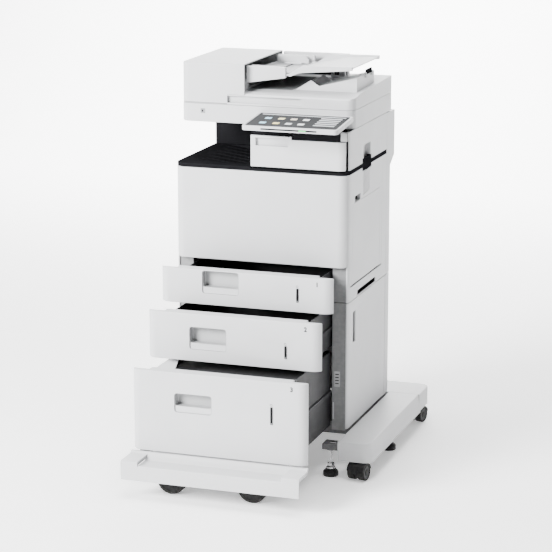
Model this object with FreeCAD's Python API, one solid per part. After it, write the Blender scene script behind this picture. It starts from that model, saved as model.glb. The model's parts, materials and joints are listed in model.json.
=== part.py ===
"""Office photocopier with document feeder, three paper drawers and a wheeled base.

Millimetres, +Z up, +X to the operator's right, -Y towards the operator.  Everything is drawn in the
machine's own frame (x = 0 mid width, y = 0 at the front cover's face, z = 0 on the floor) and then
moved along Y, so that the origin is on the floor below the middle of the whole machine, with its
drawers pulled out as they stand at rest.
"""
import math
import os

import FreeCAD
import Part

V = FreeCAD.Vector

# ---- overall body ----
BODY_WIDTH = 510.0          # across the side covers
BODY_DEPTH = 430.0          # front cover face to rear cover face
CORNER_RADIUS = 30.0        # vertical front corners of covers and drawer fronts
FRONT_DEPTH = 15.0          # how far front pieces wrap round the corner
SIDE_SEAM = 391.0           # y where the side covers meet the rear covers
WALL = 3.0                  # moulded cover wall
SEAM = 1.0                  # gap between fixed covers
MOVING_GAP = 2.0            # gap round drawers and doors
RUNNING = 0.05              # radial clearance of a pin in its hole
SLACK = 0.5                 # clearance of a loose moving piece

# ---- heights, from the floor up ----
BASE_BOTTOM = 52.0
BASE_HEIGHT = 55.0
CABINET_GAP = 8.0
DRAWER_3_HEIGHT = 229.0
DRAWER_2_HEIGHT = 134.0
DRAWER_1_HEIGHT = 99.0
FRONT_COVER_HEIGHT = 262.0
TRIM_HEIGHT = 11.0
BIN_HEIGHT = 110.0
SCANNER_HEIGHT = 52.0
FEEDER_BASE_HEIGHT = 43.0
FEEDER_BLOCK_HEIGHT = 72.0

# ---- drawers ----
DRAWER_1_OUT = 125.0        # how far each drawer stands out at rest
DRAWER_2_OUT = 227.0
DRAWER_3_OUT = 345.0
DRAWER_FRONT_THICKNESS = 35.0
TRAY_WALL = 2.5
TRAY_LENGTH = 340.0
FRAME_INSIDE = 208.0        # half distance between the inner side frames
RAIL_DEPTH = 5.0
HANDLE_LEFT = -127.0
HANDLE_RIGHT = -20.0
HANDLE_DEPTH = 26.0
GAUGE_FROM_SIDE = 100.0     # paper gauge slot, from the right side

# ---- wheeled base ----
BASE_FRONT = -81.0
BASE_REAR = BODY_DEPTH + 135.0
OUTRIGGER_WIDTH = 99.0
OUTRIGGER_DRAFT = 8.0
OUTRIGGER_RADIUS = 28.0
REAR_COVER_Y = BODY_DEPTH + 15.0
STEM_X = BODY_WIDTH / 2 + 63.0
CASTOR_WHEEL_RADIUS = 23.5
CASTOR_WHEEL_WIDTH = 21.0
CASTOR_WEB = 9.0
CASTOR_TRAIL = 17.0
AXLE_RADIUS = 3.0
STEM_RADIUS = 5.5
BIG_WHEEL_RADIUS = 42.0
BIG_WHEEL_WIDTH = 16.0
BIG_TRAIL = 18.0
BIG_STEM_X = 117.0
FOOT_RADIUS = 22.0
FOOT_STUD_RADIUS = 5.0

# ---- foot panel under the deep drawer ----
PANEL_TREAD = 80.0          # depth of the tread in front of the drawer
PANEL_STEP = 12.0           # the middle of the tread is this much lower than its ends
PANEL_END = 49.0            # width of each raised end

# ---- upper right tower and output bin ----
TOWER_LEFT = -27.0
BIN_DEPTH = 330.0
BIN_SINK = 24.0
TOWER_COVER_DEPTH = 10.0
TOWER_COVER_HEIGHT = 88.0
LEDGE_HEIGHT = 80.0
LEDGE_LEFT = 92.0

# ---- right side door, multi-purpose tray and latch ----
DOOR_FRONT = 36.0
DOOR_REAR = 345.0
DOOR_BOTTOM = 525.0
MP_FRONT = 53.0
MP_REAR = 325.0
MP_HEIGHT = 231.0
MP_THICKNESS = 9.0
DOOR_DEPTH = 15.0

# ---- scanner ----
SCANNER_FRONT = 56.0
SCANNER_REAR = 437.0
SCANNER_RADIUS = 24.0
GLASS_THICKNESS = 4.0
GLASS_LEFT = -205.0
GLASS_RIGHT = 190.0
GLASS_FRONT = 90.0
GLASS_REAR = 390.0

# ---- document feeder ----
BLOCK_RIGHT = -66.0
BLOCK_REAR = 395.0
GRIP_LEFT = -117.0
GRIP_RIGHT = 101.0
TRAY_ROOT_RIGHT = 48.0
TRAY_END = 241.0
TRAY_FRONT = 78.0
TRAY_BACK = 357.0
RIM = 12.0
GUIDE_FRONT = 98.0
GUIDE_BACK = 330.0

# ---- control panel ----
PANEL_LEFT = -18.0
PANEL_RIGHT = 257.0
PANEL_DEPTH = 156.0
PANEL_THICKNESS = 13.0
PANEL_TILT = 5.5
PANEL_FRONT = -105.0
PANEL_FRONT_ABOVE_BIN = 22.5

# ---- worked out ----
HALF = BODY_WIDTH / 2
BASE_TOP = BASE_BOTTOM + BASE_HEIGHT
CABINET_BOTTOM = BASE_TOP + CABINET_GAP
DRAWER_3_TOP = CABINET_BOTTOM + DRAWER_3_HEIGHT
DRAWER_2_BOTTOM = DRAWER_3_TOP + MOVING_GAP
DRAWER_2_TOP = DRAWER_2_BOTTOM + DRAWER_2_HEIGHT
DRAWER_1_BOTTOM = DRAWER_2_TOP + MOVING_GAP
DRAWER_1_TOP = DRAWER_1_BOTTOM + DRAWER_1_HEIGHT
COVER_BOTTOM = DRAWER_1_TOP + MOVING_GAP
COVER_TOP = COVER_BOTTOM + FRONT_COVER_HEIGHT
DECK_TOP = COVER_TOP + TRIM_HEIGHT
SCANNER_BOTTOM = DECK_TOP + BIN_HEIGHT
SCANNER_TOP = SCANNER_BOTTOM + SCANNER_HEIGHT
FEEDER_TOP = SCANNER_TOP + FEEDER_BASE_HEIGHT
BLOCK_TOP = FEEDER_TOP + FEEDER_BLOCK_HEIGHT
DRAWER_FACE = -DRAWER_3_OUT
PANEL_FACE = DRAWER_FACE - PANEL_TREAD
ORIGIN_Y = (PANEL_FACE + BASE_REAR) / 2
BASE_SIDE = HALF + SEAM
BASE_OUTSIDE = BASE_SIDE + OUTRIGGER_WIDTH


# ---- plain solids ----
def block(x, y, z):
    """Box between the two limits given along each axis."""
    return Part.makeBox(x[1] - x[0], y[1] - y[0], z[1] - z[0], V(x[0], y[0], z[0]))


def rod(start, axis, radius, length):
    """Cylinder from a start point along an axis."""
    return Part.makeCylinder(radius, length, V(*start), V(*axis))


def polygon(points):
    """Face inside straight edges through the points."""
    corners = [V(*point) for point in points]
    return Part.Face(Part.makePolygon(corners + corners[:1]))


def prism_x(points, x):
    """Outline of (y, z) points carried along X."""
    return polygon([(x[0], y, z) for y, z in points]).extrude(V(x[1] - x[0], 0, 0))


def prism_y(points, y):
    """Outline of (x, z) points carried along Y."""
    return polygon([(x, y[0], z) for x, z in points]).extrude(V(0, y[1] - y[0], 0))


def fuse(first, *others):
    """One solid from pieces that overlap or touch."""
    return first.fuse(list(others)).removeSplitter()


def cut(shape, *tools):
    """Shape less each of the tools."""
    return shape.cut(list(tools))


def group(shapes):
    """Separate solids that share one node."""
    return Part.makeCompound(list(shapes))


def mirrored(shape):
    """The same piece on the other side of the machine."""
    return shape.mirror(V(0, 0, 0), V(1, 0, 0))


def rounded_outline(x, y, z, front, rear=0.0):
    """Rectangle wire in a level plane with its front and rear corners rounded."""
    x0, x1 = x
    y0, y1 = y
    half = math.sqrt(0.5)
    edges = []
    corners = [(x1, y0, -1, 1, front), (x1, y1, -1, -1, rear), (x0, y1, 1, -1, rear), (x0, y0, 1, 1, front)]
    turns = [((0, 1), (1, -1)), ((1, 0), (1, 1)), ((0, 1), (-1, 1)), ((1, 0), (-1, -1))]
    starts = []
    for (cx, cy, sx, sy, radius), (along, outward) in zip(corners, turns):
        if radius <= 0:
            starts.append((V(cx, cy, z), V(cx, cy, z)))
            continue
        centre = V(cx + sx * radius, cy + sy * radius, z)
        on_side = V(cx, centre.y, z)
        on_end = V(centre.x, cy, z)
        middle = centre + V(outward[0] * radius * half, outward[1] * radius * half, 0)
        first, last = (on_end, on_side) if along == (0, 1) else (on_side, on_end)
        edges.append(Part.Arc(first, middle, last).toShape())
        starts.append((first, last))
    for index, (_, leave) in enumerate(starts):
        arrive = starts[(index + 1) % 4][0]
        if (arrive - leave).Length > 1e-6:
            edges.append(Part.LineSegment(leave, arrive).toShape())
    return Part.Wire(Part.__sortEdges__(edges))


def slab(x, y, z, front=0.0, rear=0.0):
    """Box with rounded vertical corners."""
    outline = rounded_outline(x, y, z[0], front, rear)
    return Part.Face(outline).extrude(V(0, 0, z[1] - z[0]))


def body_slab(z, inset=0.0, rear=BODY_DEPTH):
    """Slab on the machine's plan outline, drawn in by the inset and cut off at the rear limit."""
    whole = slab((-HALF + inset, HALF - inset), (inset, BODY_DEPTH + inset), z,
                 max(CORNER_RADIUS - inset, 1.0))
    return whole.common(block((-HALF - 1, HALF + 1), (-1, rear), z))


def cover_ring(z, x, y):
    """The part of the body's outer wall that lies inside the x and y limits."""
    ring = cut(body_slab(z), body_slab((z[0] - 1, z[1] + 1), WALL, rear=BODY_DEPTH + 1))
    return ring.common(block(x, y, (z[0] - 1, z[1] + 1)))


def soften(shape, radius, wanted):
    """Round the edges for which wanted(edge) is true."""
    edges = [edge for edge in shape.Edges if wanted(edge)]
    return shape.makeFillet(radius, edges)


def at_height(z):
    """Test for a level edge at the height z."""
    return lambda edge: abs(edge.BoundBox.ZMin - z) < 1e-4 and abs(edge.BoundBox.ZMax - z) < 1e-4


# ---- hinges made of a lug with a pin, beside a post with a hole ----
LUG = 4.0
LUG_RADIUS = 5.0
HINGE_PIN = 2.5


def hinge_lug(x, pivot, foot):
    """Lug at x, round the pivot (y, z), joined to its piece by the foot box, with its pin."""
    y, z = pivot
    eye = rod((x, y, z), (1, 0, 0), LUG_RADIUS, LUG)
    pin = rod((x, y, z), (1, 0, 0), HINGE_PIN, 2 * LUG + SLACK + 1)
    return fuse(eye, block((x, x + LUG), foot[0], foot[1]), pin)


def hinge_post(x, pivot, foot):
    """Post beside the lug that starts at x, with the pin's hole."""
    y, z = pivot
    start = x + LUG + SLACK
    eye = rod((start, y, z), (1, 0, 0), LUG_RADIUS, LUG)
    solid = fuse(eye, block((start, start + LUG), foot[0], foot[1]))
    return cut(solid, rod((start - 1, y, z), (1, 0, 0), HINGE_PIN + RUNNING, LUG + 2))


# ---- castors and levelling feet ----
def castor(x, y, heading, wheel_radius, wheel_width, trail, stem_top):
    """Twin-wheel castor whose wheels trail from the stem along the heading, in degrees."""
    hood_outer = wheel_radius + 3.2
    hood_inner = wheel_radius + 1.0
    half_web = CASTOR_WEB / 2
    half_width = half_web + SLACK + wheel_width
    centre = (trail, 0, wheel_radius)
    hub = V(*centre)

    def across(radius, half_length):
        start = (hub.x, -half_length, hub.z)
        return rod(start, (0, 1, 0), radius, 2 * half_length)

    web = across(wheel_radius * 0.82, half_web)
    hood = cut(across(hood_outer, half_width), across(hood_inner, half_width + 1))
    low = block((hub.x - 2 * wheel_radius, hub.x + 2 * wheel_radius), (-60, 60),
                (-10, wheel_radius * 1.25))
    hood = cut(hood, low)
    rib = across(hood_outer, half_web).common(
        block((hub.x - hood_outer, hub.x + hood_outer), (-60, 60), (wheel_radius, 2 * hood_outer)))
    collar_top = wheel_radius + hood_outer + 0.4
    collar = rod((0, 0, wheel_radius * 1.3), (0, 0, 1), half_web, collar_top - wheel_radius * 1.3)
    cap = rod((0, 0, collar_top - 3.0), (0, 0, 1), STEM_RADIUS * 1.8, 3.0)
    neck = block((0, trail), (-half_web, half_web), (collar_top - 3.0, collar_top))
    stem = rod((0, 0, collar_top - 1), (0, 0, 1), STEM_RADIUS, stem_top - collar_top + 1)
    axle = across(AXLE_RADIUS, half_width)
    swivel = fuse(web, hood, rib, collar, cap, neck, stem, axle)
    wheels = []
    for side in (-1, 1):
        inner = side * (half_web + SLACK)
        start = min(inner, inner + side * wheel_width)
        tyre = rod((hub.x, start, hub.z), (0, 1, 0), wheel_radius, wheel_width)
        tyre = soften(tyre, 3.0, lambda edge: edge.Length > 6.0 * wheel_radius)
        wheels.append(cut(tyre, rod((hub.x, start - 1, hub.z), (0, 1, 0), AXLE_RADIUS + RUNNING,
                                    wheel_width + 2)))
    placed = []
    for shape in (swivel, group(wheels)):
        turned = shape.copy()
        turned.rotate(V(0, 0, 0), V(0, 0, 1), heading)
        turned.translate(V(x, y, 0))
        placed.append(turned)
    return placed


def levelling_foot(x, y, top):
    """Screw foot: a round pad, its collar and the threaded stud."""
    pad_height = 22.0
    pad = Part.makeCylinder(FOOT_RADIUS, pad_height, V(x, y, 0))
    pad = soften(pad, 3.0, at_height(pad_height))
    collar = rod((x, y, pad_height), (0, 0, 1), FOOT_RADIUS * 0.6, 5.0)
    stud = rod((x, y, pad_height), (0, 0, 1), FOOT_STUD_RADIUS, top - pad_height)
    return fuse(pad, collar, stud)


FRONT_FOOT = (230.0, -58.0)
SIDE_FOOT_Y = 225.0
BRACKET_TOP = 95.0
BRACKET_THICKNESS = 4.0
BEAM_BOTTOM = 64.0
BEAM_TOP = 100.0
BEAM_HALF = 20.0
BASE_STEM_TOP = BEAM_BOTTOM + 20.0
CASTOR_PLACES = {
    "front_right": (STEM_X, BASE_FRONT + 29.0, -100.0),
    "front_left": (-STEM_X, BASE_FRONT + 29.0, -75.0),
    "rear_right": (STEM_X, BASE_REAR - 60.0, 75.0),
    "rear_left": (-STEM_X, BASE_REAR - 60.0, 100.0),
}


def build_base():
    """Wheeled base: side outriggers, rear cover, steel frame, castors and levelling feet."""
    nodes = {}

    def outline(inset, z, draft):
        x1 = BASE_OUTSIDE - draft - inset
        y0 = BASE_FRONT + inset
        radius = OUTRIGGER_RADIUS - inset
        middle = V(x1 - radius * (1 - math.sqrt(0.5)), y0 + radius * (1 - math.sqrt(0.5)), z)
        rear = REAR_COVER_Y - SEAM + (1 if inset else 0)
        inside = BASE_SIDE + inset
        arc = Part.Arc(V(x1 - radius, y0, z), middle, V(x1, y0 + radius, z)).toShape()
        line = [V(x1, y0 + radius, z), V(x1, rear, z), V(inside, rear, z), V(inside, y0, z),
                V(x1 - radius, y0, z)]
        sides = [Part.LineSegment(a, b).toShape() for a, b in zip(line, line[1:])]
        return Part.Wire([arc] + sides)

    def side_cover():
        outer = Part.makeLoft([outline(0, BASE_BOTTOM, 0), outline(0, BASE_TOP, OUTRIGGER_DRAFT)], True, True)
        outer = soften(outer, 3.0, lambda edge: at_height(BASE_TOP)(edge)
                       and edge.BoundBox.XMax > BASE_SIDE + 5 and edge.BoundBox.YMin < REAR_COVER_Y - 10
                       and not (abs(edge.BoundBox.XMin - BASE_SIDE) < 1 and edge.BoundBox.YMax > 0))
        inner = Part.makeLoft([outline(WALL, BASE_BOTTOM - 1, 0), outline(WALL, BASE_TOP - WALL,
                                                                          OUTRIGGER_DRAFT)], True, True)
        bridge = block((BASE_SIDE - 1, BASE_SIDE + WALL + 1), (60, REAR_COVER_Y),
                       (BASE_BOTTOM - 1, BASE_TOP - WALL))
        slot = block((BASE_SIDE - 1, BASE_SIDE + WALL + 1), (BASE_FRONT + 3, -28),
                     (BRACKET_TOP - 19, BRACKET_TOP + 1))
        return cut(outer, inner, bridge, slot)

    right = side_cover()
    nodes["base_cover_right"] = right
    nodes["base_cover_left"] = mirrored(right)

    def rear_slab(inset, z0, z1):
        return slab((-BASE_OUTSIDE + OUTRIGGER_DRAFT / 2 + inset, BASE_OUTSIDE - OUTRIGGER_DRAFT / 2 - inset),
                    (REAR_COVER_Y + inset, BASE_REAR - inset), (z0, z1), 0, OUTRIGGER_RADIUS - inset)

    rear = soften(rear_slab(0, BASE_BOTTOM, BASE_TOP), 3.0, lambda edge: at_height(BASE_TOP)(edge)
                  and edge.BoundBox.YMax > REAR_COVER_Y + 5)
    rear = cut(rear, rear_slab(WALL, BASE_BOTTOM - 1, BASE_TOP - WALL))
    for side in (-1, 1):
        window = block(sorted((side * (STEM_X - BEAM_HALF - 2), side * (STEM_X + BEAM_HALF + 2))),
                       (REAR_COVER_Y - 1, REAR_COVER_Y + WALL + 1), (BASE_BOTTOM - 1, BEAM_TOP + 2))
        rear = cut(rear, window)
    nodes["base_cover_rear"] = rear

    # steel frame: two side beams, three cross members and the deck plate under the cabinet
    beam_front = BASE_FRONT + 12.0
    beam_rear = BASE_REAR - 25.0
    parts = []
    for side in (-1, 1):
        centre = side * STEM_X
        beam = block((centre - BEAM_HALF, centre + BEAM_HALF), (beam_front, beam_rear),
                     (BEAM_BOTTOM, BEAM_TOP))
        for name, (x, y, _) in CASTOR_PLACES.items():
            if x * side > 0:
                beam = cut(beam, rod((x, y, BEAM_BOTTOM - 1), (0, 0, 1), STEM_RADIUS + RUNNING,
                                     BASE_STEM_TOP - BEAM_BOTTOM + 3))
        nut = rod((centre, SIDE_FOOT_Y, BEAM_BOTTOM - 14), (0, 0, 1), 14, 14)
        beam = cut(fuse(beam, nut), rod((centre, SIDE_FOOT_Y, BEAM_BOTTOM - 15), (0, 0, 1),
                                        FOOT_STUD_RADIUS + RUNNING, 32))
        parts.append(beam)
        # front levelling bracket: a plate with a turned-down flange and a nut below it
        x_in = side * (FRONT_FOOT[0] - FOOT_RADIUS)
        x_out = side * (STEM_X - BEAM_HALF)
        span = sorted((x_in, x_out))
        lip = sorted((x_in, side * (BASE_SIDE - SEAM)))
        y_front = BASE_FRONT + 9.0
        plate = block(span, (y_front, -30), (BRACKET_TOP - BRACKET_THICKNESS, BRACKET_TOP))
        flange = block(lip, (y_front, y_front + WALL), (BRACKET_TOP - 17, BRACKET_TOP))
        centre_x = side * FRONT_FOOT[0]
        nut = rod((centre_x, FRONT_FOOT[1], BRACKET_TOP - 19), (0, 0, 1), 13.0, 17.0)
        hole = block(sorted((side * (FRONT_FOOT[0] - 8), side * (FRONT_FOOT[0] + 14))),
                     (FRONT_FOOT[1] + 4, FRONT_FOOT[1] + 18),
                     (BRACKET_TOP - BRACKET_THICKNESS - 1, BRACKET_TOP + 1))
        bore = rod((centre_x, FRONT_FOOT[1], BRACKET_TOP - 30), (0, 0, 1),
                   FOOT_STUD_RADIUS + RUNNING, 26)
        plate = fuse(cut(plate, hole), flange)
        parts.append(cut(fuse(plate, cut(nut, hole)), bore))
    reach = STEM_X - BEAM_HALF
    for y in (95.0, 300.0, BODY_DEPTH - 30.0):
        parts.append(block((-reach, reach), (y, y + 30), (BEAM_BOTTOM + 10, BEAM_TOP)))
    parts.append(block((-reach, reach), (beam_rear - 50, beam_rear - 10), (BEAM_BOTTOM + 10, BEAM_TOP)))
    parts.append(block((-HALF + 5, HALF - 5), (95.0, BODY_DEPTH - 2), (BEAM_TOP, BASE_TOP)))
    nodes["base_frame"] = group(parts)

    feet = []
    for side in (-1, 1):
        feet.append(levelling_foot(side * FRONT_FOOT[0], FRONT_FOOT[1], BRACKET_TOP - 6))
        feet.append(levelling_foot(side * STEM_X, SIDE_FOOT_Y, BEAM_BOTTOM + 14))
    nodes["levelling_feet"] = group(feet)

    for name, (x, y, heading) in CASTOR_PLACES.items():
        swivel, wheels = castor(x, y, heading, CASTOR_WHEEL_RADIUS, CASTOR_WHEEL_WIDTH, CASTOR_TRAIL,
                                BASE_STEM_TOP)
        nodes["castor_" + name] = swivel
        nodes["castor_wheels_" + name] = wheels
    return nodes


# ---- drawers ----
TRAY_HALF = FRAME_INSIDE - RAIL_DEPTH - TRAY_WALL - 2.5
FRONT_HALF = FRAME_INSIDE - 3.0
HANDLE_LIP = 17.0
RUNNER_HALF = 7.0


def drawer_front(z, handle, gauge, out):
    """Moulded drawer front with its pull pocket and paper gauge slot, standing out by so much."""
    z0, z1 = z
    edge_piece = body_slab(z, rear=FRONT_DEPTH)
    core = block((-FRONT_HALF, FRONT_HALF), (FRONT_DEPTH, DRAWER_FRONT_THICKNESS), (z0 + 4, z1))
    solid = fuse(edge_piece, core)
    solid = soften(solid, 2.0, lambda edge: (at_height(z1)(edge) or at_height(z0)(edge))
                   and edge.BoundBox.YMax < FRONT_DEPTH - 0.5)
    pocket = slab((HANDLE_LEFT, HANDLE_RIGHT), (-1, HANDLE_DEPTH), (handle[0] + HANDLE_LIP, handle[1]), 0, 6)
    lip = block((HANDLE_LEFT, HANDLE_RIGHT), (-1, 3), handle)
    behind_lip = block((HANDLE_LEFT, HANDLE_RIGHT), (9, HANDLE_DEPTH),
                       (handle[0] + 3, handle[0] + HANDLE_LIP + 1))
    x_gauge = HALF - GAUGE_FROM_SIDE
    slot = block((x_gauge - 3, x_gauge + 3), (-1, 2.5), gauge)
    hollow_z = (z0 + 4 + WALL, z1 - WALL)
    left = block((-FRONT_HALF + WALL, HANDLE_LEFT - WALL - 2), (4, DRAWER_FRONT_THICKNESS + 1), hollow_z)
    right = block((HANDLE_RIGHT + WALL + 2, FRONT_HALF - WALL), (4, DRAWER_FRONT_THICKNESS + 1), hollow_z)
    shape = cut(solid, pocket, lip, behind_lip, slot, left, right)
    if handle[0] - z0 > 40:
        below = block((HANDLE_LEFT - 3, HANDLE_RIGHT + 3), (4, DRAWER_FRONT_THICKNESS + 1),
                      (z0 + 4 + WALL, handle[0] - WALL))
        shape = cut(shape, below)
    shape.translate(V(0, -out, 0))
    return shape


def runner_height(z):
    """Height of a drawer's slide rails."""
    return z[0] + (z[1] - z[0]) * 0.45


def drawer_tray(z, floor, rim, out):
    """Open tray behind a drawer front, with the runners that ride in the cabinet's rails."""
    start = DRAWER_FRONT_THICKNESS
    outer = slab((-TRAY_HALF, TRAY_HALF), (start, start + TRAY_LENGTH), (floor, rim), 0, 4)
    inner = slab((-TRAY_HALF + TRAY_WALL, TRAY_HALF - TRAY_WALL),
                 (start + TRAY_WALL, start + TRAY_LENGTH - TRAY_WALL), (floor + TRAY_WALL, rim + 1), 0, 2)
    tray = cut(outer, inner)
    middle = runner_height(z)
    for side in (-1, 1):
        x = sorted((side * (TRAY_HALF - 1), side * (FRAME_INSIDE - 2.5)))
        tray = fuse(tray,
                    block(x, (start + 10, start + TRAY_LENGTH - 5),
                          (middle - RUNNER_HALF, middle + RUNNER_HALF)))
    tray.translate(V(0, -out, 0))
    return tray


def rails(z):
    """Fixed channel rails for one drawer, one on each side frame."""
    middle = runner_height(z)
    shapes = []
    for side in (-1, 1):
        x = sorted((side * (FRAME_INSIDE - RAIL_DEPTH), side * FRAME_INSIDE))
        for low in (middle - RUNNER_HALF - 2.5, middle + RUNNER_HALF + SLACK):
            shapes.append(block(x, (45, SIDE_SEAM - 10), (low, low + 2.0)))
    return shapes


DRAWER_1_Z = (DRAWER_1_BOTTOM, DRAWER_1_TOP)
DRAWER_2_Z = (DRAWER_2_BOTTOM, DRAWER_2_TOP)
DRAWER_3_Z = (CABINET_BOTTOM, DRAWER_3_TOP)


DRAWER_3_RIM_GAP = 9.0      # the tray's rim is this much lower than the front
LEDGE_NEAR_X = -140.0       # corner plate over the deep tray's left side
LEDGE_FAR_X = -176.0
LEDGE_DEPTH = 130.0
LEDGE_THICKNESS = 2.5


def build_drawers():
    """The three paper drawers and everything that rides on them."""
    nodes = {}
    specs = [
        ("drawer_1", DRAWER_1_Z, (33.0, 97.0), (27.0, 67.0), 4.0, 13.0, DRAWER_1_OUT),
        ("drawer_2", DRAWER_2_Z, (34.0, 97.0), (29.0, 66.0), 4.0, 13.0, DRAWER_2_OUT),
        ("drawer_3", DRAWER_3_Z, (118.0, 171.0), (108.0, 158.0), 3.0, DRAWER_3_RIM_GAP, DRAWER_3_OUT),
    ]
    for name, z, handle, gauge, floor_gap, rim_gap, out in specs:
        handle_z = (z[0] + handle[0], z[0] + handle[1])
        gauge_z = (z[0] + gauge[0], z[0] + gauge[1])
        nodes[name + "_front"] = drawer_front(z, handle_z, gauge_z, out)
        nodes[name + "_tray"] = drawer_tray(z, z[0] + floor_gap, z[1] - rim_gap, out)
    left = -TRAY_HALF + 1
    near = DRAWER_FRONT_THICKNESS - DRAWER_3_OUT
    rim = DRAWER_3_Z[1] - DRAWER_3_RIM_GAP
    ledge = polygon([(left, near, rim - 1), (LEDGE_NEAR_X, near, rim - 1),
                     (LEDGE_FAR_X, near + LEDGE_DEPTH, rim - 1),
                     (left, near + LEDGE_DEPTH, rim - 1)]).extrude(V(0, 0, LEDGE_THICKNESS + 1))
    ledge = cut(ledge,
                block((left + TRAY_WALL - 1, HALF), (near + TRAY_WALL, near + TRAY_LENGTH), (rim - 2, rim)))
    nodes["drawer_3_tray"] = fuse(nodes["drawer_3_tray"], ledge)

    # deep drawer: lift plate on its wires, and the bearers that carry the foot panel
    plate_half = TRAY_HALF - TRAY_WALL - 4
    plate_y = (DRAWER_FRONT_THICKNESS + TRAY_WALL + 4 - DRAWER_3_OUT,
               DRAWER_FRONT_THICKNESS + TRAY_LENGTH - TRAY_WALL - 4 - DRAWER_3_OUT)
    plate_top = DRAWER_3_TOP - 36.0
    nodes["drawer_3_lift_plate"] = slab((-plate_half, plate_half), plate_y, (plate_top - 2.5, plate_top), 3,
                                        3)
    nodes["foot_panel"] = foot_panel()
    for name, side in (("right", 1), ("left", -1)):
        swivel, wheels = castor(side * BIG_STEM_X, BIG_STEM_Y, 180.0, BIG_WHEEL_RADIUS, BIG_WHEEL_WIDTH,
                                BIG_TRAIL, PANEL_RIDGE - 6)
        nodes["drawer_castor_" + name] = swivel
        nodes["drawer_castor_wheels_" + name] = wheels
    return nodes


PANEL_RIDGE = CABINET_BOTTOM - 3.0
BIG_STEM_Y = DRAWER_FACE + 10.0


def foot_panel():
    """Tread in front of the deep drawer: a skin with a lower middle, a front skirt and two bosses."""
    skirt = 3.5
    end_top = BASE_TOP - 1
    middle_top = end_top - PANEL_STEP
    ridge_front = DRAWER_FACE - 4

    def tread(x, top, thickness):
        y_toe = PANEL_FACE
        reach = PANEL_RIDGE - top
        curve = [(ridge_front - (1 - math.sin(math.radians(a))) * reach - 1,
                  PANEL_RIDGE - reach * math.sqrt(1 - math.sin(math.radians(a))))
                 for a in (90, 60, 30, 0)]
        outer = [(ridge_front + 8, PANEL_RIDGE)] + curve + [(y_toe + 3, top), (y_toe, top - 3),
                                                            (y_toe, BASE_BOTTOM)]
        inner = [(y_toe + skirt, BASE_BOTTOM), (y_toe + skirt, top - thickness - 4),
                 (y_toe + skirt + 4, top - thickness), (ridge_front - 4, top - thickness),
                 (ridge_front + 8, PANEL_RIDGE - 4)]
        return prism_x(outer + inner, x)

    end = HALF - PANEL_END
    ends = [tread((-HALF, -end), end_top, 10.0), tread((end, HALF), end_top, 10.0)]
    middle = tread((-end - 0.01, end + 0.01), middle_top, 4.0)
    rear_plate = block((-HALF + 60, HALF - 60), (ridge_front + 5, DRAWER_FACE + 45),
                       (PANEL_RIDGE - 4, PANEL_RIDGE))
    skin = fuse(middle, ends[0], ends[1], rear_plate)
    collar_top = 2 * BIG_WHEEL_RADIUS + 3.6
    for side in (-1, 1):
        boss = rod((side * BIG_STEM_X, BIG_STEM_Y, collar_top + SLACK), (0, 0, 1), 13.0,
                   PANEL_RIDGE - 2 - collar_top - SLACK)
        pad = block(sorted((side * (BIG_STEM_X - 40), side * (BIG_STEM_X + 40))),
                    (DRAWER_FACE + 36, DRAWER_FACE + 45), (PANEL_RIDGE - 1, CABINET_BOTTOM + 3))
        bore = rod((side * BIG_STEM_X, BIG_STEM_Y, collar_top), (0, 0, 1), STEM_RADIUS + RUNNING,
                   PANEL_RIDGE - 5 - collar_top)
        skin = cut(fuse(skin, boss, pad), bore)
    return skin


# ---- cabinet that holds drawers 2 and 3 ----
SIDE_DOOR_PIVOT = (HALF - 8.0, SIDE_SEAM - 12.0)
ARM_RADIUS = 4.5            # end of the arms that carry the side door's pins
PILLAR_Y = 20.0


def side_frames(z):
    """Pair of steel side frames with front and rear flanges."""
    frames = []
    for side in (-1, 1):
        def span(a, b):
            return sorted((side * a, side * b))
        web = block(span(FRAME_INSIDE, FRAME_INSIDE + 2), (PILLAR_Y, SIDE_SEAM - 5), z)
        front = block(span(FRAME_INSIDE + 2, HALF - 7.5), (PILLAR_Y, PILLAR_Y + 2), z)
        rear = block(span(FRAME_INSIDE + 2, HALF - 22), (SIDE_SEAM - 7, SIDE_SEAM - 5), z)
        frames += [web, front, rear]
    return frames


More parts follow.
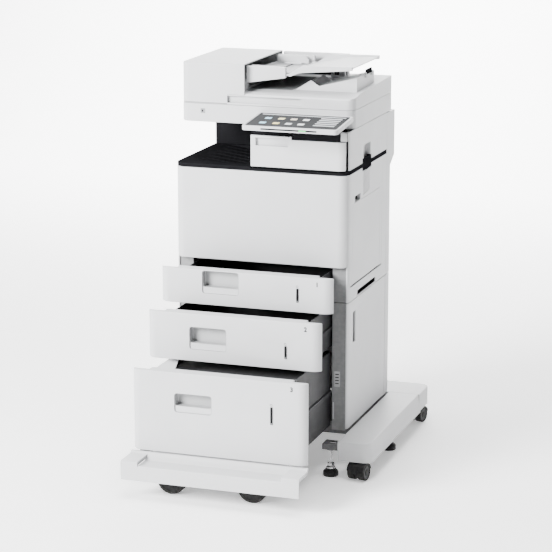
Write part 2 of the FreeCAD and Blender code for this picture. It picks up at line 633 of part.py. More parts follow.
def build_cabinet():
    """Lower cabinet: steel frame, covers and the service door in its right side."""
    nodes = {}
    z = (CABINET_BOTTOM, DRAWER_2_TOP)
    left_front = -HALF + 60
    nodes["cabinet_cover_left"] = cover_ring(z, (-HALF - 1, left_front), (FRONT_DEPTH + SEAM, SIDE_SEAM))
    rear_outer = prism_x([(SIDE_SEAM + SEAM, z[0]), (BODY_DEPTH, z[0]), (BODY_DEPTH, z[1]),
                          (SIDE_SEAM + SEAM, z[1])],
                         (-HALF, HALF))
    rear_inner = block((-HALF + WALL, HALF - WALL), (SIDE_SEAM, BODY_DEPTH - WALL),
                       (z[0] + WALL, z[1] - WALL))
    nodes["cabinet_cover_rear"] = cut(rear_outer, rear_inner)

    frame = side_frames((BASE_TOP + 2, z[1]))
    frame.append(block((-FRAME_INSIDE - 2, FRAME_INSIDE + 2), (95, SIDE_SEAM - 8), (BASE_TOP, BASE_TOP + 2)))
    frame.append(block((-FRAME_INSIDE, FRAME_INSIDE), (45, SIDE_SEAM - 8),
                       (DRAWER_3_TOP - 1, DRAWER_3_TOP + 1)))
    frame += rails(DRAWER_2_Z) + rails(DRAWER_3_Z)
    px, py = SIDE_DOOR_PIVOT
    for low in (z[0] + 20, z[1] - 30):
        arm = fuse(block((HALF - 22, px), (py - 6, py + ARM_RADIUS), (low, low + 4)),
                   rod((px, py, low), (0, 0, 1), ARM_RADIUS, 4))
        arm = fuse(arm, block((HALF - 24, HALF - 20), (py - 6, SIDE_SEAM - 7), (low, low + 4)))
        frame.append(cut(arm, rod((px, py, low - 1), (0, 0, 1), HINGE_PIN + RUNNING, 6)))
    nodes["cabinet_frame"] = group(frame)

    door = cover_ring(z, (FRAME_INSIDE + 5, HALF + 1), (FRONT_DEPTH + SEAM, SIDE_SEAM - 2.5))
    slot_y = (63.0, 88.0)
    slot_z = (z[1] - 124.0, z[1] - 34.0)
    pocket = block((HALF - 14, HALF - 1), (slot_y[0] - 2, slot_y[1] + 12), (slot_z[0] - 2, slot_z[1] + 2))
    door = cut(fuse(door, pocket), block((HALF - 12, HALF + 1), slot_y, slot_z),
               block((HALF - 12, HALF - 4), (slot_y[0], slot_y[1] + 10), slot_z))
    for low in (z[0] + 20, z[1] - 30):
        ear = block((px - 4, HALF - 1), (py - 4, py + 4), (low + 4 + SLACK, low + 8 + SLACK))
        pin = rod((px, py, low - 1), (0, 0, 1), HINGE_PIN, 6 + SLACK)
        door = fuse(door, ear, pin)
    nodes["cabinet_side_door"] = door
    return nodes


# ---- main unit ----
COVER_PIVOT = (8.5, COVER_BOTTOM + 9.0)
COVER_LUGS = (-231.5, 218.0)
DOOR_PIVOT = (HALF - 8.0, DOOR_BOTTOM + 5.0)
MP_PIVOT = (HALF - MP_THICKNESS / 2, DOOR_BOTTOM + 7.0)
LATCH_Y = (145.0, 232.0)
LATCH_PIVOT = (HALF - 4.0, COVER_TOP - 6.0)
FINGER_Y = (73.0, 127.0)
FINGER_Z = (DOOR_BOTTOM + 233.0, DOOR_BOTTOM + 251.0)
VENT_Y = (153.0, 218.0)
VENT_ROWS = 11


def front_cover():
    """Front door of the engine: a moulded shell that folds down on two pins."""
    z = (COVER_BOTTOM, COVER_TOP - SEAM)
    outer = body_slab(z, rear=FRONT_DEPTH)
    outer = soften(outer, 3.5, lambda edge: at_height(z[0])(edge) and edge.BoundBox.YMax < FRONT_DEPTH - 0.5)
    outer = soften(outer, 2.0, lambda edge: at_height(z[1])(edge) and edge.BoundBox.YMax < FRONT_DEPTH - 0.5)
    inner = body_slab((z[0] + WALL, z[1] - WALL), WALL, rear=FRONT_DEPTH + 1)
    shell = cut(outer, inner)
    pivot_y, pivot_z = COVER_PIVOT
    sweep = block((-HALF - 1, HALF + 1), (pivot_y, FRONT_DEPTH + 1), (z[0] - 1, pivot_z))
    shell = cut(shell, cut(sweep, rod((-HALF - 2, pivot_y, pivot_z), (1, 0, 0), FRONT_DEPTH - pivot_y + 0.8,
                                      BODY_WIDTH + 4)))
    pieces = []
    for x in COVER_LUGS:
        shell = cut(shell,
                    block((x - 1, x + 2 * LUG + 3), (WALL, FRONT_DEPTH + 1), (z[0] - 1, z[0] + WALL + 1)))
        pieces.append(hinge_lug(x, COVER_PIVOT, ((WALL - 1, pivot_y), (pivot_z - 3, pivot_z + 5))))
    ribs = [block((x, x + 2), (WALL - 1, FRONT_DEPTH - 4), (z[0] + 20, z[1] - 20)) for x in (-150, -50, 50,
                                                                                             150)]
    return fuse(shell, *pieces, *ribs)


def right_door():
    """Right side door over the paper path, with the bay for the multi-purpose tray."""
    z = (DOOR_BOTTOM, COVER_TOP - SEAM)
    y = (DOOR_FRONT, DOOR_REAR)
    inside = HALF - DOOR_DEPTH
    mp_top = DOOR_BOTTOM + MP_HEIGHT + 1
    body = block((inside, HALF), y, z)
    body = soften(body, 2.5, lambda edge: at_height(z[0])(edge) and edge.BoundBox.XMin > HALF - 1)
    bay = block((HALF - MP_THICKNESS - 1.5, HALF + 1), (MP_FRONT - 1, MP_REAR + 1), (z[0] - 1, mp_top))
    low_bay = block((inside - 1, HALF + 1), (MP_FRONT - 1, MP_REAR + 1), (z[0] - 1, z[0] + 22))
    behind = block((inside - 1, HALF - MP_THICKNESS - 4.5), (y[0] + WALL, y[1] - WALL),
                   (z[0] + 26, mp_top - 1))
    upper = block((inside - 1, HALF - WALL), (y[0] + WALL, y[1] - WALL), (mp_top + WALL, z[1] - WALL))
    body = cut(body, bay, low_bay, behind, upper)
    grip = block((HALF - 13, HALF - 1), (FINGER_Y[0] - 2, FINGER_Y[1] + 2),
                 (FINGER_Z[0] - 2, FINGER_Z[1] + 2))
    grip_hole = block((HALF - 11, HALF + 1), FINGER_Y, FINGER_Z)
    body = cut(fuse(body, grip), grip_hole)
    pitch = (z[1] - 10 - (mp_top + 8)) / VENT_ROWS
    vents = []
    for row in range(VENT_ROWS):
        low = mp_top + 8 + row * pitch
        lean = 6.0
        vents.append(prism_x([(VENT_Y[0], low), (VENT_Y[1], low + lean),
                              (VENT_Y[1], low + lean + pitch * 0.3),
                              (VENT_Y[0], low + pitch * 0.3)], (HALF - WALL - 1, HALF + 1)))
    notch = block((LATCH_PIVOT[0] - 5, HALF + 1), (LATCH_Y[0] - 1, LATCH_Y[1] + 1),
                  (LATCH_PIVOT[1] - 6, z[1] + 1))
    body = cut(body, notch, *vents)
    px, pz = LATCH_PIVOT
    for low in (LATCH_Y[0] - 4.5, LATCH_Y[1] + 0.5):
        ear = block((px - 5, HALF - 1), (low, low + 4), (pz - 6, z[1]))
        body = fuse(body, ear)
    body = cut(body, rod((px, LATCH_Y[0] - 5, pz), (0, 1, 0), 1.5 + RUNNING, LATCH_Y[1] - LATCH_Y[0] + 10))
    dx, dz = DOOR_PIVOT
    mx, mz = MP_PIVOT
    for low, high in ((y[0] - 5, y[0] + 3), (y[1] - 3, y[1] + 5)):
        body = fuse(body, rod((dx, low, dz), (0, 1, 0), HINGE_PIN, high - low))
    for low, high in ((MP_FRONT - 6, MP_FRONT - 1), (MP_REAR + 1, MP_REAR + 6)):
        body = cut(body, rod((mx, low, mz), (0, 1, 0), HINGE_PIN + RUNNING, high - low))
    return body


def mp_tray():
    """Multi-purpose tray, folded up flush with the door."""
    x = (HALF - MP_THICKNESS, HALF)
    z = (DOOR_BOTTOM + 1, DOOR_BOTTOM + MP_HEIGHT)
    plate = block(x, (MP_FRONT, MP_REAR), z)
    plate = soften(plate, 2.5, lambda edge: at_height(z[0])(edge) and edge.BoundBox.XMin > x[1] - 1)
    well = block((x[0] - 1, x[1] - WALL), (MP_FRONT + WALL, MP_REAR - WALL), (z[0] + 18, z[1] - WALL))
    mx, mz = MP_PIVOT
    pins = rod((mx, MP_FRONT - 5, mz), (0, 1, 0), HINGE_PIN, MP_REAR - MP_FRONT + 10)
    return fuse(cut(plate, well), pins)


def door_latch():
    """Latch lever on the top edge of the right door."""
    px, pz = LATCH_PIVOT
    top = DECK_TOP + 13.0
    paddle = block((px - 2, HALF), LATCH_Y, (pz - 3, top))
    paddle = soften(paddle, 1.5, lambda edge: at_height(top)(edge))
    pins = rod((px, LATCH_Y[0] - 4, pz), (0, 1, 0), 1.5, LATCH_Y[1] - LATCH_Y[0] + 8)
    return fuse(paddle, pins)


def output_deck():
    """Black output deck with the sloped well of the delivery bin and the trim round the body."""
    z = (COVER_TOP, DECK_TOP)
    plate = body_slab(z, 0.5, rear=SIDE_SEAM - SEAM)
    well_left = -HALF + 45
    well_right = TOWER_LEFT - 8
    outer = prism_y([(well_left - 3, z[0] + 1), (well_right + 3, DECK_TOP - BIN_SINK - 3),
                     (well_right + 3, z[0] + 1)], (37, BIN_DEPTH - 2))
    inner = prism_y([(well_left, DECK_TOP + 1), (well_left, DECK_TOP), (well_right, DECK_TOP - BIN_SINK),
                     (well_right, DECK_TOP + 1)], (40, BIN_DEPTH - 5))
    front_step = block((TOWER_LEFT - 1, HALF + 1), (-1, 13), (z[1] - 4, z[1] + 1))
    latch_notch = block((HALF - 9, HALF + 1), (LATCH_Y[0] - 2, LATCH_Y[1] + 2), (z[0] - 1, z[1] + 1))
    rear_notch = block((-HALF - 1, -HALF + WALL + 1), (BIN_DEPTH + 2, SIDE_SEAM + 1), (z[0] - 1, z[1] + 1))
    deck = cut(fuse(plate, outer), inner, front_step, latch_notch, rear_notch)
    for x in TOWER_LUGS:
        y, height = TOWER_PIVOT
        behind = y + LUG_RADIUS
        post = hinge_post(x, TOWER_PIVOT, ((y, behind + LUG), (height - 4, height + 4)))
        start = x + LUG + SLACK
        foot = block((start, start + LUG), (behind, behind + LUG), (z[1] - 3, height))
        deck = fuse(deck, post, foot)
    return deck


TOWER_PIVOT = (8.5, DECK_TOP + 6.5)
TOWER_LUGS = (2.0, 214.0)


def tower_cover():
    """White cover of the delivery and fixing tower, with its finger grip, hinged at the bottom."""
    z = (DECK_TOP + SEAM, DECK_TOP + SEAM + TOWER_COVER_HEIGHT)
    outer = body_slab(z, rear=TOWER_COVER_DEPTH).common(
        block((TOWER_LEFT, HALF + 1), (-1, TOWER_COVER_DEPTH), z))
    above_ledge = block((LEDGE_LEFT, HALF + 1), (-1, TOWER_COVER_DEPTH + 1),
                        (DECK_TOP + SEAM + LEDGE_HEIGHT, z[1] + 1))
    outer = cut(outer, above_ledge)
    outer = soften(outer, 3.0,
                   lambda edge: at_height(z[0])(edge) and edge.BoundBox.YMax < TOWER_COVER_DEPTH - 0.5
                   and edge.BoundBox.XMax > TOWER_LEFT + 0.5)
    inner = body_slab((z[0] - 1, z[1] - WALL), WALL, rear=TOWER_COVER_DEPTH + 1).common(
        block((TOWER_LEFT + WALL, HALF), (0, TOWER_COVER_DEPTH + 1), (z[0] - 1, z[1] - WALL)))
    inner = cut(inner, block((LEDGE_LEFT - WALL, HALF + 1), (-1, TOWER_COVER_DEPTH + 2),
                             (DECK_TOP + SEAM + LEDGE_HEIGHT - WALL, z[1] + 1)))
    shell = cut(outer, inner)
    grip_x = (TOWER_LEFT + 14, LEDGE_LEFT - 10)
    grip_z = (z[1] - 28, z[1] - 6)
    housing = block((grip_x[0] - 2, grip_x[1] + 2), (WALL - 1, TOWER_COVER_DEPTH),
                    (grip_z[0] - 2, grip_z[1] + 2))
    pocket = block(grip_x, (-1, TOWER_COVER_DEPTH - 2), grip_z)
    pivot_y, pivot_z = TOWER_PIVOT
    lugs = [hinge_lug(x, TOWER_PIVOT, ((WALL - 1, pivot_y), (pivot_z - 3, pivot_z + 5))) for x in TOWER_LUGS]
    return fuse(cut(fuse(shell, housing), pocket), *lugs)


def build_main():
    """Main unit: covers, steel plates, doors, output bin and the engine inside."""
    nodes = {}
    z = (DRAWER_1_BOTTOM, COVER_TOP - SEAM)
    tower_z = (DECK_TOP + SEAM, SCANNER_BOTTOM - SEAM)
    side_x = (FRAME_INSIDE + 5, HALF + 1)
    left_x = (-HALF - 1, -FRAME_INSIDE - 5)
    left = cover_ring(z, left_x, (FRONT_DEPTH + SEAM, SIDE_SEAM))
    upper = cover_ring((z[1] - 1, tower_z[1]), left_x, (BIN_DEPTH + 4, SIDE_SEAM))
    nodes["main_cover_left"] = fuse(left, upper)

    right = cover_ring(z, side_x, (FRONT_DEPTH + SEAM, SIDE_SEAM))
    doorway = block((FRAME_INSIDE, HALF + 2), (DOOR_FRONT - SEAM, DOOR_REAR + SEAM),
                    (DOOR_BOTTOM - WALL, z[1] + 1))
    carry = block((HALF - 20, HALF + 2), (103, 286), (z[0] + 3, z[0] + 18))
    right = cut(right, doorway, carry)
    dx, dz = DOOR_PIVOT
    for low, high in ((DOOR_FRONT - 9, DOOR_FRONT - SEAM), (DOOR_REAR + SEAM, DOOR_REAR + 9)):
        ear = block((dx - 5, HALF - 1), (low, high), (dz - 6, dz + 6))
        right = fuse(right, ear)
    right = cut(right, rod((dx, DOOR_FRONT - 6, dz), (0, 1, 0), HINGE_PIN + RUNNING,
                           DOOR_REAR - DOOR_FRONT + 12))
    nodes["main_cover_right"] = right

    bump = 43.0
    rear = [(SIDE_SEAM + SEAM, z[0]), (BODY_DEPTH, z[0]), (BODY_DEPTH, COVER_TOP - 42),
            (BODY_DEPTH + bump, COVER_TOP - 16), (BODY_DEPTH + bump, SCANNER_BOTTOM - 4),
            (SIDE_SEAM + SEAM, SCANNER_BOTTOM - 4)]
    hollow = [(SIDE_SEAM, z[0] + WALL), (BODY_DEPTH - WALL, z[0] + WALL), (BODY_DEPTH - WALL, COVER_TOP - 40),
              (BODY_DEPTH + bump - WALL, COVER_TOP - 14), (BODY_DEPTH + bump - WALL,
                                                           SCANNER_BOTTOM - 4 - WALL),
              (SIDE_SEAM, SCANNER_BOTTOM - 4 - WALL)]
    shell = cut(prism_x(rear, (-HALF, HALF)), prism_x(hollow, (-HALF + WALL, HALF - WALL)))
    inlet_x = (-HALF + 60, -HALF + 110)
    inlet_z = (z[0] + 30, z[0] + 58)
    window = block((inlet_x[0] - SLACK, inlet_x[1] + SLACK), (BODY_DEPTH - 10, BODY_DEPTH + 1),
                   (inlet_z[0] - SLACK, inlet_z[1] + SLACK))
    vents = [block((x, x + 5), (BODY_DEPTH + bump - WALL - 1, BODY_DEPTH + bump + 1),
                   (DECK_TOP + 20, SCANNER_BOTTOM - 30)) for x in range(-180, 181, 12)]
    nodes["main_cover_rear"] = cut(shell, window, *vents)
    inlet = block(inlet_x, (BODY_DEPTH - 26, BODY_DEPTH - 0.5), inlet_z)
    inlet = cut(inlet, slab((inlet_x[0] + 10, inlet_x[1] - 10), (BODY_DEPTH - 18, BODY_DEPTH),
                            (inlet_z[0] + 5, inlet_z[1] - 5)))
    centre_x = sum(inlet_x) / 2
    centre_z = sum(inlet_z) / 2
    for dx_pin, dz_pin in ((-7, -2), (0, 3), (7, -2)):
        inlet = fuse(inlet,
                     block((centre_x + dx_pin - 1, centre_x + dx_pin + 1), (BODY_DEPTH - 19, BODY_DEPTH - 7),
                                  (centre_z + dz_pin - 2, centre_z + dz_pin + 2)))
    nodes["power_inlet"] = inlet

    frame = side_frames((z[0], z[1]))
    frame.append(block((-FRAME_INSIDE + 1, FRAME_INSIDE - 1), (SIDE_SEAM - 7, SIDE_SEAM - 5),
                       (z[0] + 8, z[1])))
    frame.append(block((-FRAME_INSIDE, FRAME_INSIDE), (40, 52), (DRAWER_1_TOP - 8, DRAWER_1_TOP + 2)))
    frame.append(block((-FRAME_INSIDE, FRAME_INSIDE), (52.5, SIDE_SEAM - 8),
                       (DRAWER_1_TOP, DRAWER_1_TOP + 2)))
    frame.append(block((-FRAME_INSIDE, FRAME_INSIDE), (PILLAR_Y, PILLAR_Y + 2),
                       (COVER_BOTTOM + 4, COVER_BOTTOM + 60)))
    frame += rails(DRAWER_1_Z)
    for x in COVER_LUGS:
        y, height = COVER_PIVOT
        frame.append(hinge_post(x, COVER_PIVOT, ((y, PILLAR_Y), (height - 4, height + 4))))
    nodes["main_frame"] = group(frame)

    nodes["front_cover"] = front_cover()
    nodes["right_door"] = right_door()
    nodes["mp_tray"] = mp_tray()
    nodes["door_latch"] = door_latch()
    nodes["output_deck"] = output_deck()
    nodes["tower_cover"] = tower_cover()

    rear_wall = block((-HALF + WALL + SEAM, TOWER_LEFT - 3.5), (BIN_DEPTH, BIN_DEPTH + 3), tower_z)
    side_wall = block((TOWER_LEFT - 3, TOWER_LEFT - SLACK), (TOWER_COVER_DEPTH + 2, BIN_DEPTH + 3), tower_z)
    mouth = block((TOWER_LEFT - 4, TOWER_LEFT + 1), (60, 300), (tower_z[0] + 22, tower_z[0] + 36))
    nodes["bin_walls"] = group([rear_wall, cut(side_wall, mouth)])

    side = cover_ring(tower_z, side_x, (TOWER_COVER_DEPTH + 10, SIDE_SEAM))
    finger = block((HALF - 16, HALF - 1), (151, 226), (LATCH_PIVOT[1] + 20, DECK_TOP + 53))
    finger_hole = block((HALF - 13, HALF + 1), (LATCH_Y[0] - 2, LATCH_Y[1] + 2),
                        (tower_z[0] - 1, DECK_TOP + 14))
    recess = block((HALF - 14, HALF + 1), (153, 224), (tower_z[0] - 1, DECK_TOP + 51))
    finger = finger.common(block((0, HALF), (0, 400), (tower_z[0], tower_z[1])))
    nodes["tower_side_cover"] = cut(fuse(side, finger), recess, finger_hole)

    support_low = block((LEDGE_LEFT + 2, HALF - 22), (3, 60),
                        (DECK_TOP + SEAM + LEDGE_HEIGHT + 1.5, tower_z[1]))
    support_high = block((TOWER_LEFT + 1, HALF - 22), (TOWER_COVER_DEPTH + 2, 60),
                         (DECK_TOP + SEAM + TOWER_COVER_HEIGHT + 2, tower_z[1]))
    end_block = block((HALF - 23, HALF - 2), (4, TOWER_COVER_DEPTH + 9),
                      (SCANNER_BOTTOM - 26, SCANNER_BOTTOM - 2))
    support = fuse(support_low, support_high, end_block)
    yoke = []
    y, height = PANEL_PIVOT
    for x in (PANEL_MIDDLE - 64, PANEL_MIDDLE + 40.5):
        yoke.append(rod((x, y, height), (1, 0, 0), 8, 23.5))
        yoke.append(block((x, x + 23.5), (y - 1, y + 20), (tower_z[1] - 2, height)))
    hinge_rod = rod((PANEL_MIDDLE - 60, y, height), (1, 0, 0), 3, 120)
    nodes["panel_support"] = fuse(support, *yoke, hinge_rod)
    nodes.update(build_engine())
    return nodes


PANEL_MIDDLE = (PANEL_LEFT + PANEL_RIGHT) / 2
PANEL_PIVOT = (8.0, SCANNER_BOTTOM + 8.0)


def build_engine():
    """The printing engine's main assemblies, as they stack inside the main unit."""
    nodes = {}
    y = (32.0, SIDE_SEAM - 16)
    left = -FRAME_INSIDE + 10
    low = COVER_BOTTOM + 6
    unit = (COVER_TOP - COVER_BOTTOM) / 262.0
    laser = block((left, left + 330), y, (low, low + 42 * unit))
    windows = [block((left + 40 + i * 72, left + 52 + i * 72), (y[0] + 20, y[1] - 20),
                     (low + 38 * unit, low + 43 * unit))
               for i in range(4)]
    nodes["laser_unit"] = cut(laser, *windows)
    drums = []
    drum_low = low + 46 * unit
    for i in range(4):
        x = left + 10 + i * 80
        case = prism_y([(x, drum_low + 12 * unit), (x + 14, drum_low), (x + 62, drum_low),
                        (x + 72, drum_low + 14 * unit),
                        (x + 72, drum_low + 40 * unit), (x, drum_low + 40 * unit)], y)
        drum = rod((x + 40, y[0] - 4, drum_low + 40 * unit), (0, 1, 0), 15.0 * unit, y[1] - y[0] + 4)
        drums.append(fuse(case, drum))
    nodes["drum_units"] = group(drums)
    belt_low = drum_low + 58 * unit
    radius = 14.0 * unit
    loop = fuse(rod((left + 14, y[0], belt_low + radius), (0, 1, 0), radius, y[1] - y[0]),
                rod((left + 330, y[0], belt_low + radius), (0, 1, 0), radius, y[1] - y[0]),
                block((left + 14, left + 330), y, (belt_low, belt_low + 2 * radius)))
    nodes["transfer_belt"] = loop
    toner_low = belt_low + 2 * radius + 8 * unit
    toner_high = DECK_TOP - BIN_SINK - 8
    bottles = []
    for i in range(4):
        x = left + 4 + i * 92
        bottle = slab((x, x + 84), (y[0], y[1] - 20), (toner_low, toner_high), 6, 6)
        cap = rod((x + 42, y[0] - 6, (toner_low + toner_high) / 2), (0, 1, 0), 14, 8)
        bottles.append(fuse(bottle, cap))
    nodes["toner_cartridges"] = group(bottles)

    # fixing unit in the tower: heated roller over a pressure roller in a sheet metal case
    tower_low = DECK_TOP + 10
    tower_high = DECK_TOP + 72
    right = HALF - 26
    case = block((right - 90, right), (70, 330), (tower_low, tower_high))
    slot = block((right - 91, right + 1), (80, 320), (tower_low + 26, tower_low + 30))
    rollers = [rod((right - 45, 60, tower_low + 14), (0, 1, 0), 11, 284),
               rod((right - 45, 60, tower_low + 43), (0, 1, 0), 12, 284)]
    nodes["fixing_unit"] = fuse(cut(case, slot), *rollers)
    board_z = (COVER_BOTTOM + 20, COVER_TOP - 70)
    plate = block((-FRAME_INSIDE, FRAME_INSIDE), (SIDE_SEAM + 4, SIDE_SEAM + 6), board_z)
    lumps = [block((x, x + w), (SIDE_SEAM + 5, SIDE_SEAM + 5 + h), (board_z[0] + z0, board_z[0] + z0 + d))
             for x, w, h, z0, d in ((-190, 90, 26, 10, 60), (-80, 40, 12, 20, 40), (-20, 60, 18, 60, 50),
                                    (70, 110, 24, 15, 90), (-180, 70, 14, 100, 50))]
    nodes["control_board"] = fuse(plate, *lumps)
    return nodes


# ---- scanner ----
CARRIAGE_WIDTH = 30.0
SCAN_ROD = 4.0


def build_scanner():
    """Flatbed scanner: case, glass, and the carriage on its rod."""
    nodes = {}
    z = (SCANNER_BOTTOM, SCANNER_TOP - SEAM)
    x = (-HALF, HALF)
    y = (SCANNER_FRONT, SCANNER_REAR)
    outer = slab(x, y, z, SCANNER_RADIUS, 4)
    outer = soften(outer, 1.5, lambda edge: at_height(z[0])(edge))
    inner = slab((x[0] + WALL, x[1] - WALL), (y[0] + WALL, y[1] - WALL), (z[0] + WALL, z[1] - WALL - 1),
                 SCANNER_RADIUS - WALL, 2)
    glass_z = (z[1] - GLASS_THICKNESS, z[1])
    glass_y = (GLASS_FRONT, GLASS_REAR)
    wide = (GLASS_LEFT, GLASS_RIGHT)
    strip = (-HALF + 18, GLASS_LEFT - 8)
    case = cut(outer, inner)
    for span in (wide, strip):
        case = cut(case, block(span, glass_y, (z[1] - GLASS_THICKNESS - 1, z[1] + 1)))
    rod_y = (y[0] + y[1]) / 2
    rod_z = z[0] + 16
    case = fuse(case, rod((x[0] + WALL - 1, rod_y, rod_z), (1, 0, 0), SCAN_ROD, x[1] - x[0] - 2 * WALL + 2))
    hinge_y, hinge_z = FEEDER_PIVOT
    for x in FEEDER_HINGES:
        ear = block((x - 11, x + 11), (hinge_y - 4, y[1] + 2), (z[1] - 8, hinge_z + 4))
        bore = rod((x - 12, hinge_y, hinge_z), (1, 0, 0), SMALL_PIN + RUNNING, 24)
        case = cut(fuse(case, ear), bore)
    nodes["scanner_case"] = case
    panes = [block((span[0] + 0.2, span[1] - 0.2), (glass_y[0] + 0.2, glass_y[1] - 0.2), glass_z)
             for span in (wide, strip)]
    nodes["platen_glass"] = group(panes)
    start = strip[0] + 1
    carriage = block((start, start + CARRIAGE_WIDTH), (glass_y[0] - 6, glass_y[1] + 6),
                     (rod_z - 8, z[1] - 10))
    light = block((start + 6, start + 12), glass_y, (z[1] - 14, z[1] - 9))
    mirror_slot = block((start + 14, start + 18), glass_y, (z[1] - 16, z[1] - 9))
    guide = rod((start - 1, rod_y, rod_z), (1, 0, 0), SCAN_ROD + RUNNING, CARRIAGE_WIDTH + 2)
    nodes["scan_carriage"] = cut(carriage, light, mirror_slot, guide)
    return nodes


# ---- document feeder ----
FEEDER_PIVOT = (SCANNER_REAR - 2.5, SCANNER_TOP + 3.5)
FEEDER_HINGES = (-150.0, 150.0)
BLOCK_PIVOT = (-HALF + 3.5, SCANNER_TOP + 8.5)
BLOCK_HINGES = (100.0, 340.0)
SMALL_PIN = 1.5
TRAY_PIVOT = (TRAY_ROOT_RIGHT + 5.0, BLOCK_TOP - 27.0)
ROOT_FLOOR = BLOCK_TOP - 28.0
TRAY_EARS = (TRAY_FRONT + RIM + 3, TRAY_BACK - RIM - 7)
STOP_X = HALF - 9.0
STOP_Y = (205.0, 262.0)
STOP_PIVOT_Z = FEEDER_TOP + 40.0


def build_feeder():
    """Document feeder: base, feed cover, supply tray, width guides and paper stop."""
    nodes = {}
    bottom = SCANNER_TOP
    front = SCANNER_FRONT + 2
    rear = SCANNER_REAR
    lip = 14.0
    profile = [(front, bottom), (rear, bottom), (rear, FEEDER_TOP + 6), (front + 52, FEEDER_TOP - 3),
               (front + 4, FEEDER_TOP - lip + 2), (front, FEEDER_TOP - lip - 2)]
    inner = [(front + WALL, bottom - 1), (rear - WALL, bottom - 1), (rear - WALL, FEEDER_TOP + 3),
             (front + 52, FEEDER_TOP - 6), (front + WALL, FEEDER_TOP - lip - 5)]
    plan = slab((-HALF, HALF), (front, rear), (bottom - 2, BLOCK_TOP + 10), SCANNER_RADIUS, 4)
    plan_in = slab((-HALF + WALL, HALF - WALL), (front + WALL, rear - WALL), (bottom - 3, BLOCK_TOP + 10),
                   SCANNER_RADIUS - WALL, 2)
    base = prism_x(profile, (-HALF, HALF)).common(plan)
    hollow = prism_x(inner, (-HALF + WALL, HALF - WALL)).common(plan_in)
    grip = block((GRIP_LEFT, GRIP_RIGHT), (front - 1, front + 9), (bottom + 5, FEEDER_TOP - lip - 4))
    grip_back = block((GRIP_LEFT - 3, GRIP_RIGHT + 3), (front + 1, front + 12),
                      (bottom + 2, FEEDER_TOP - lip - 4))
    base = cut(fuse(cut(base, hollow), grip_back), grip)
    # space in which the feed cover's skirt hangs, and the core block that it closes over
    skirt_room = block((-HALF - 1, GRIP_LEFT - 0.5), (front - 1, front + 5), (bottom + 1.5, BLOCK_TOP))
    skirt_high = block((GRIP_LEFT - 1, BLOCK_RIGHT + 1), (front - 1, front + 5),
                       (FEEDER_TOP - lip - 1, BLOCK_TOP))
    side_room = block((-HALF - 1, -HALF + 11), (front - 1, BLOCK_REAR + 1), (bottom + 1.5, BLOCK_TOP))
    corner = block((-HALF - 1, -HALF + SCANNER_RADIUS), (front - 1, front + SCANNER_RADIUS),
                   (bottom + 1.5, BLOCK_TOP))
    rear_room = block((-HALF - 1, BLOCK_RIGHT + 1), (BLOCK_REAR - 5, BLOCK_REAR + 1),
                      (FEEDER_TOP - 1, BLOCK_TOP))
    base = cut(base, skirt_room, skirt_high, side_room, corner, rear_room)
    core_y = (front + 26, BLOCK_REAR - 8)
    core = block((-HALF + 22, BLOCK_RIGHT - 2), core_y, (bottom + 1, BLOCK_TOP - 44))
    backing = plan.common(block((-HALF, HALF), (front, rear), (bottom, bottom + 1.5)))
    mouth = block((BLOCK_RIGHT - 30, BLOCK_RIGHT), (core_y[0] + 20, core_y[1] - 20),
                  (FEEDER_TOP + 4, FEEDER_TOP + 14))
    base = fuse(base, backing, cut(core, mouth))
    px, pz = BLOCK_PIVOT
    for y in BLOCK_HINGES:
        ear = block((px - 3, px + 4), (y + SLACK, y + 7 - SLACK), (bottom + 1, pz + 3.2))
        base = fuse(base, ear)
    base = cut(base,
               rod((px, BLOCK_HINGES[0], pz), (0, 1, 0), SMALL_PIN + RUNNING,
                   BLOCK_HINGES[1] - BLOCK_HINGES[0] + 8))
    hinge_y, hinge_z = FEEDER_PIVOT
    for x in FEEDER_HINGES:
        notch = block((x - 12, x + 12), (hinge_y - 7, rear + 1), (bottom - 1, hinge_z + 8))
        box = block((x - 15, x + 15), (hinge_y - 10, rear), (bottom, hinge_z + 11))
        pin = rod((x - 14, hinge_y, hinge_z), (1, 0, 0), SMALL_PIN, 28)
        base = fuse(cut(fuse(base, box), notch), pin)

    # fixed root of the supply tray: floor, front and rear skirts
    root_x = (BLOCK_RIGHT - 4, TRAY_ROOT_RIGHT)
    skirt_outline = [(BLOCK_RIGHT + 0.7, FEEDER_TOP + 18), (TRAY_ROOT_RIGHT, FEEDER_TOP + 36),
                     (TRAY_ROOT_RIGHT, BLOCK_TOP - 7),
                     (BLOCK_RIGHT + 0.7, BLOCK_TOP - 7)]
    skirts = [prism_y(skirt_outline, (TRAY_FRONT, TRAY_FRONT + RIM)),
              prism_y(skirt_outline, (TRAY_BACK - RIM, TRAY_BACK))]
    root_floor = block(root_x, (TRAY_FRONT + 4, TRAY_BACK - 4), (ROOT_FLOOR - 3, ROOT_FLOOR))
    tie = block((BLOCK_RIGHT - 8, BLOCK_RIGHT - 2), (TRAY_FRONT + 20, TRAY_BACK - 20),
                (BLOCK_TOP - 50, ROOT_FLOOR))
    guide_slot = block((-9.5, -0.5), (GUIDE_FRONT - 8, GUIDE_BACK + 8), (ROOT_FLOOR - 4, ROOT_FLOOR + 1))
    root = cut(fuse(root_floor, *skirts, tie), guide_slot)

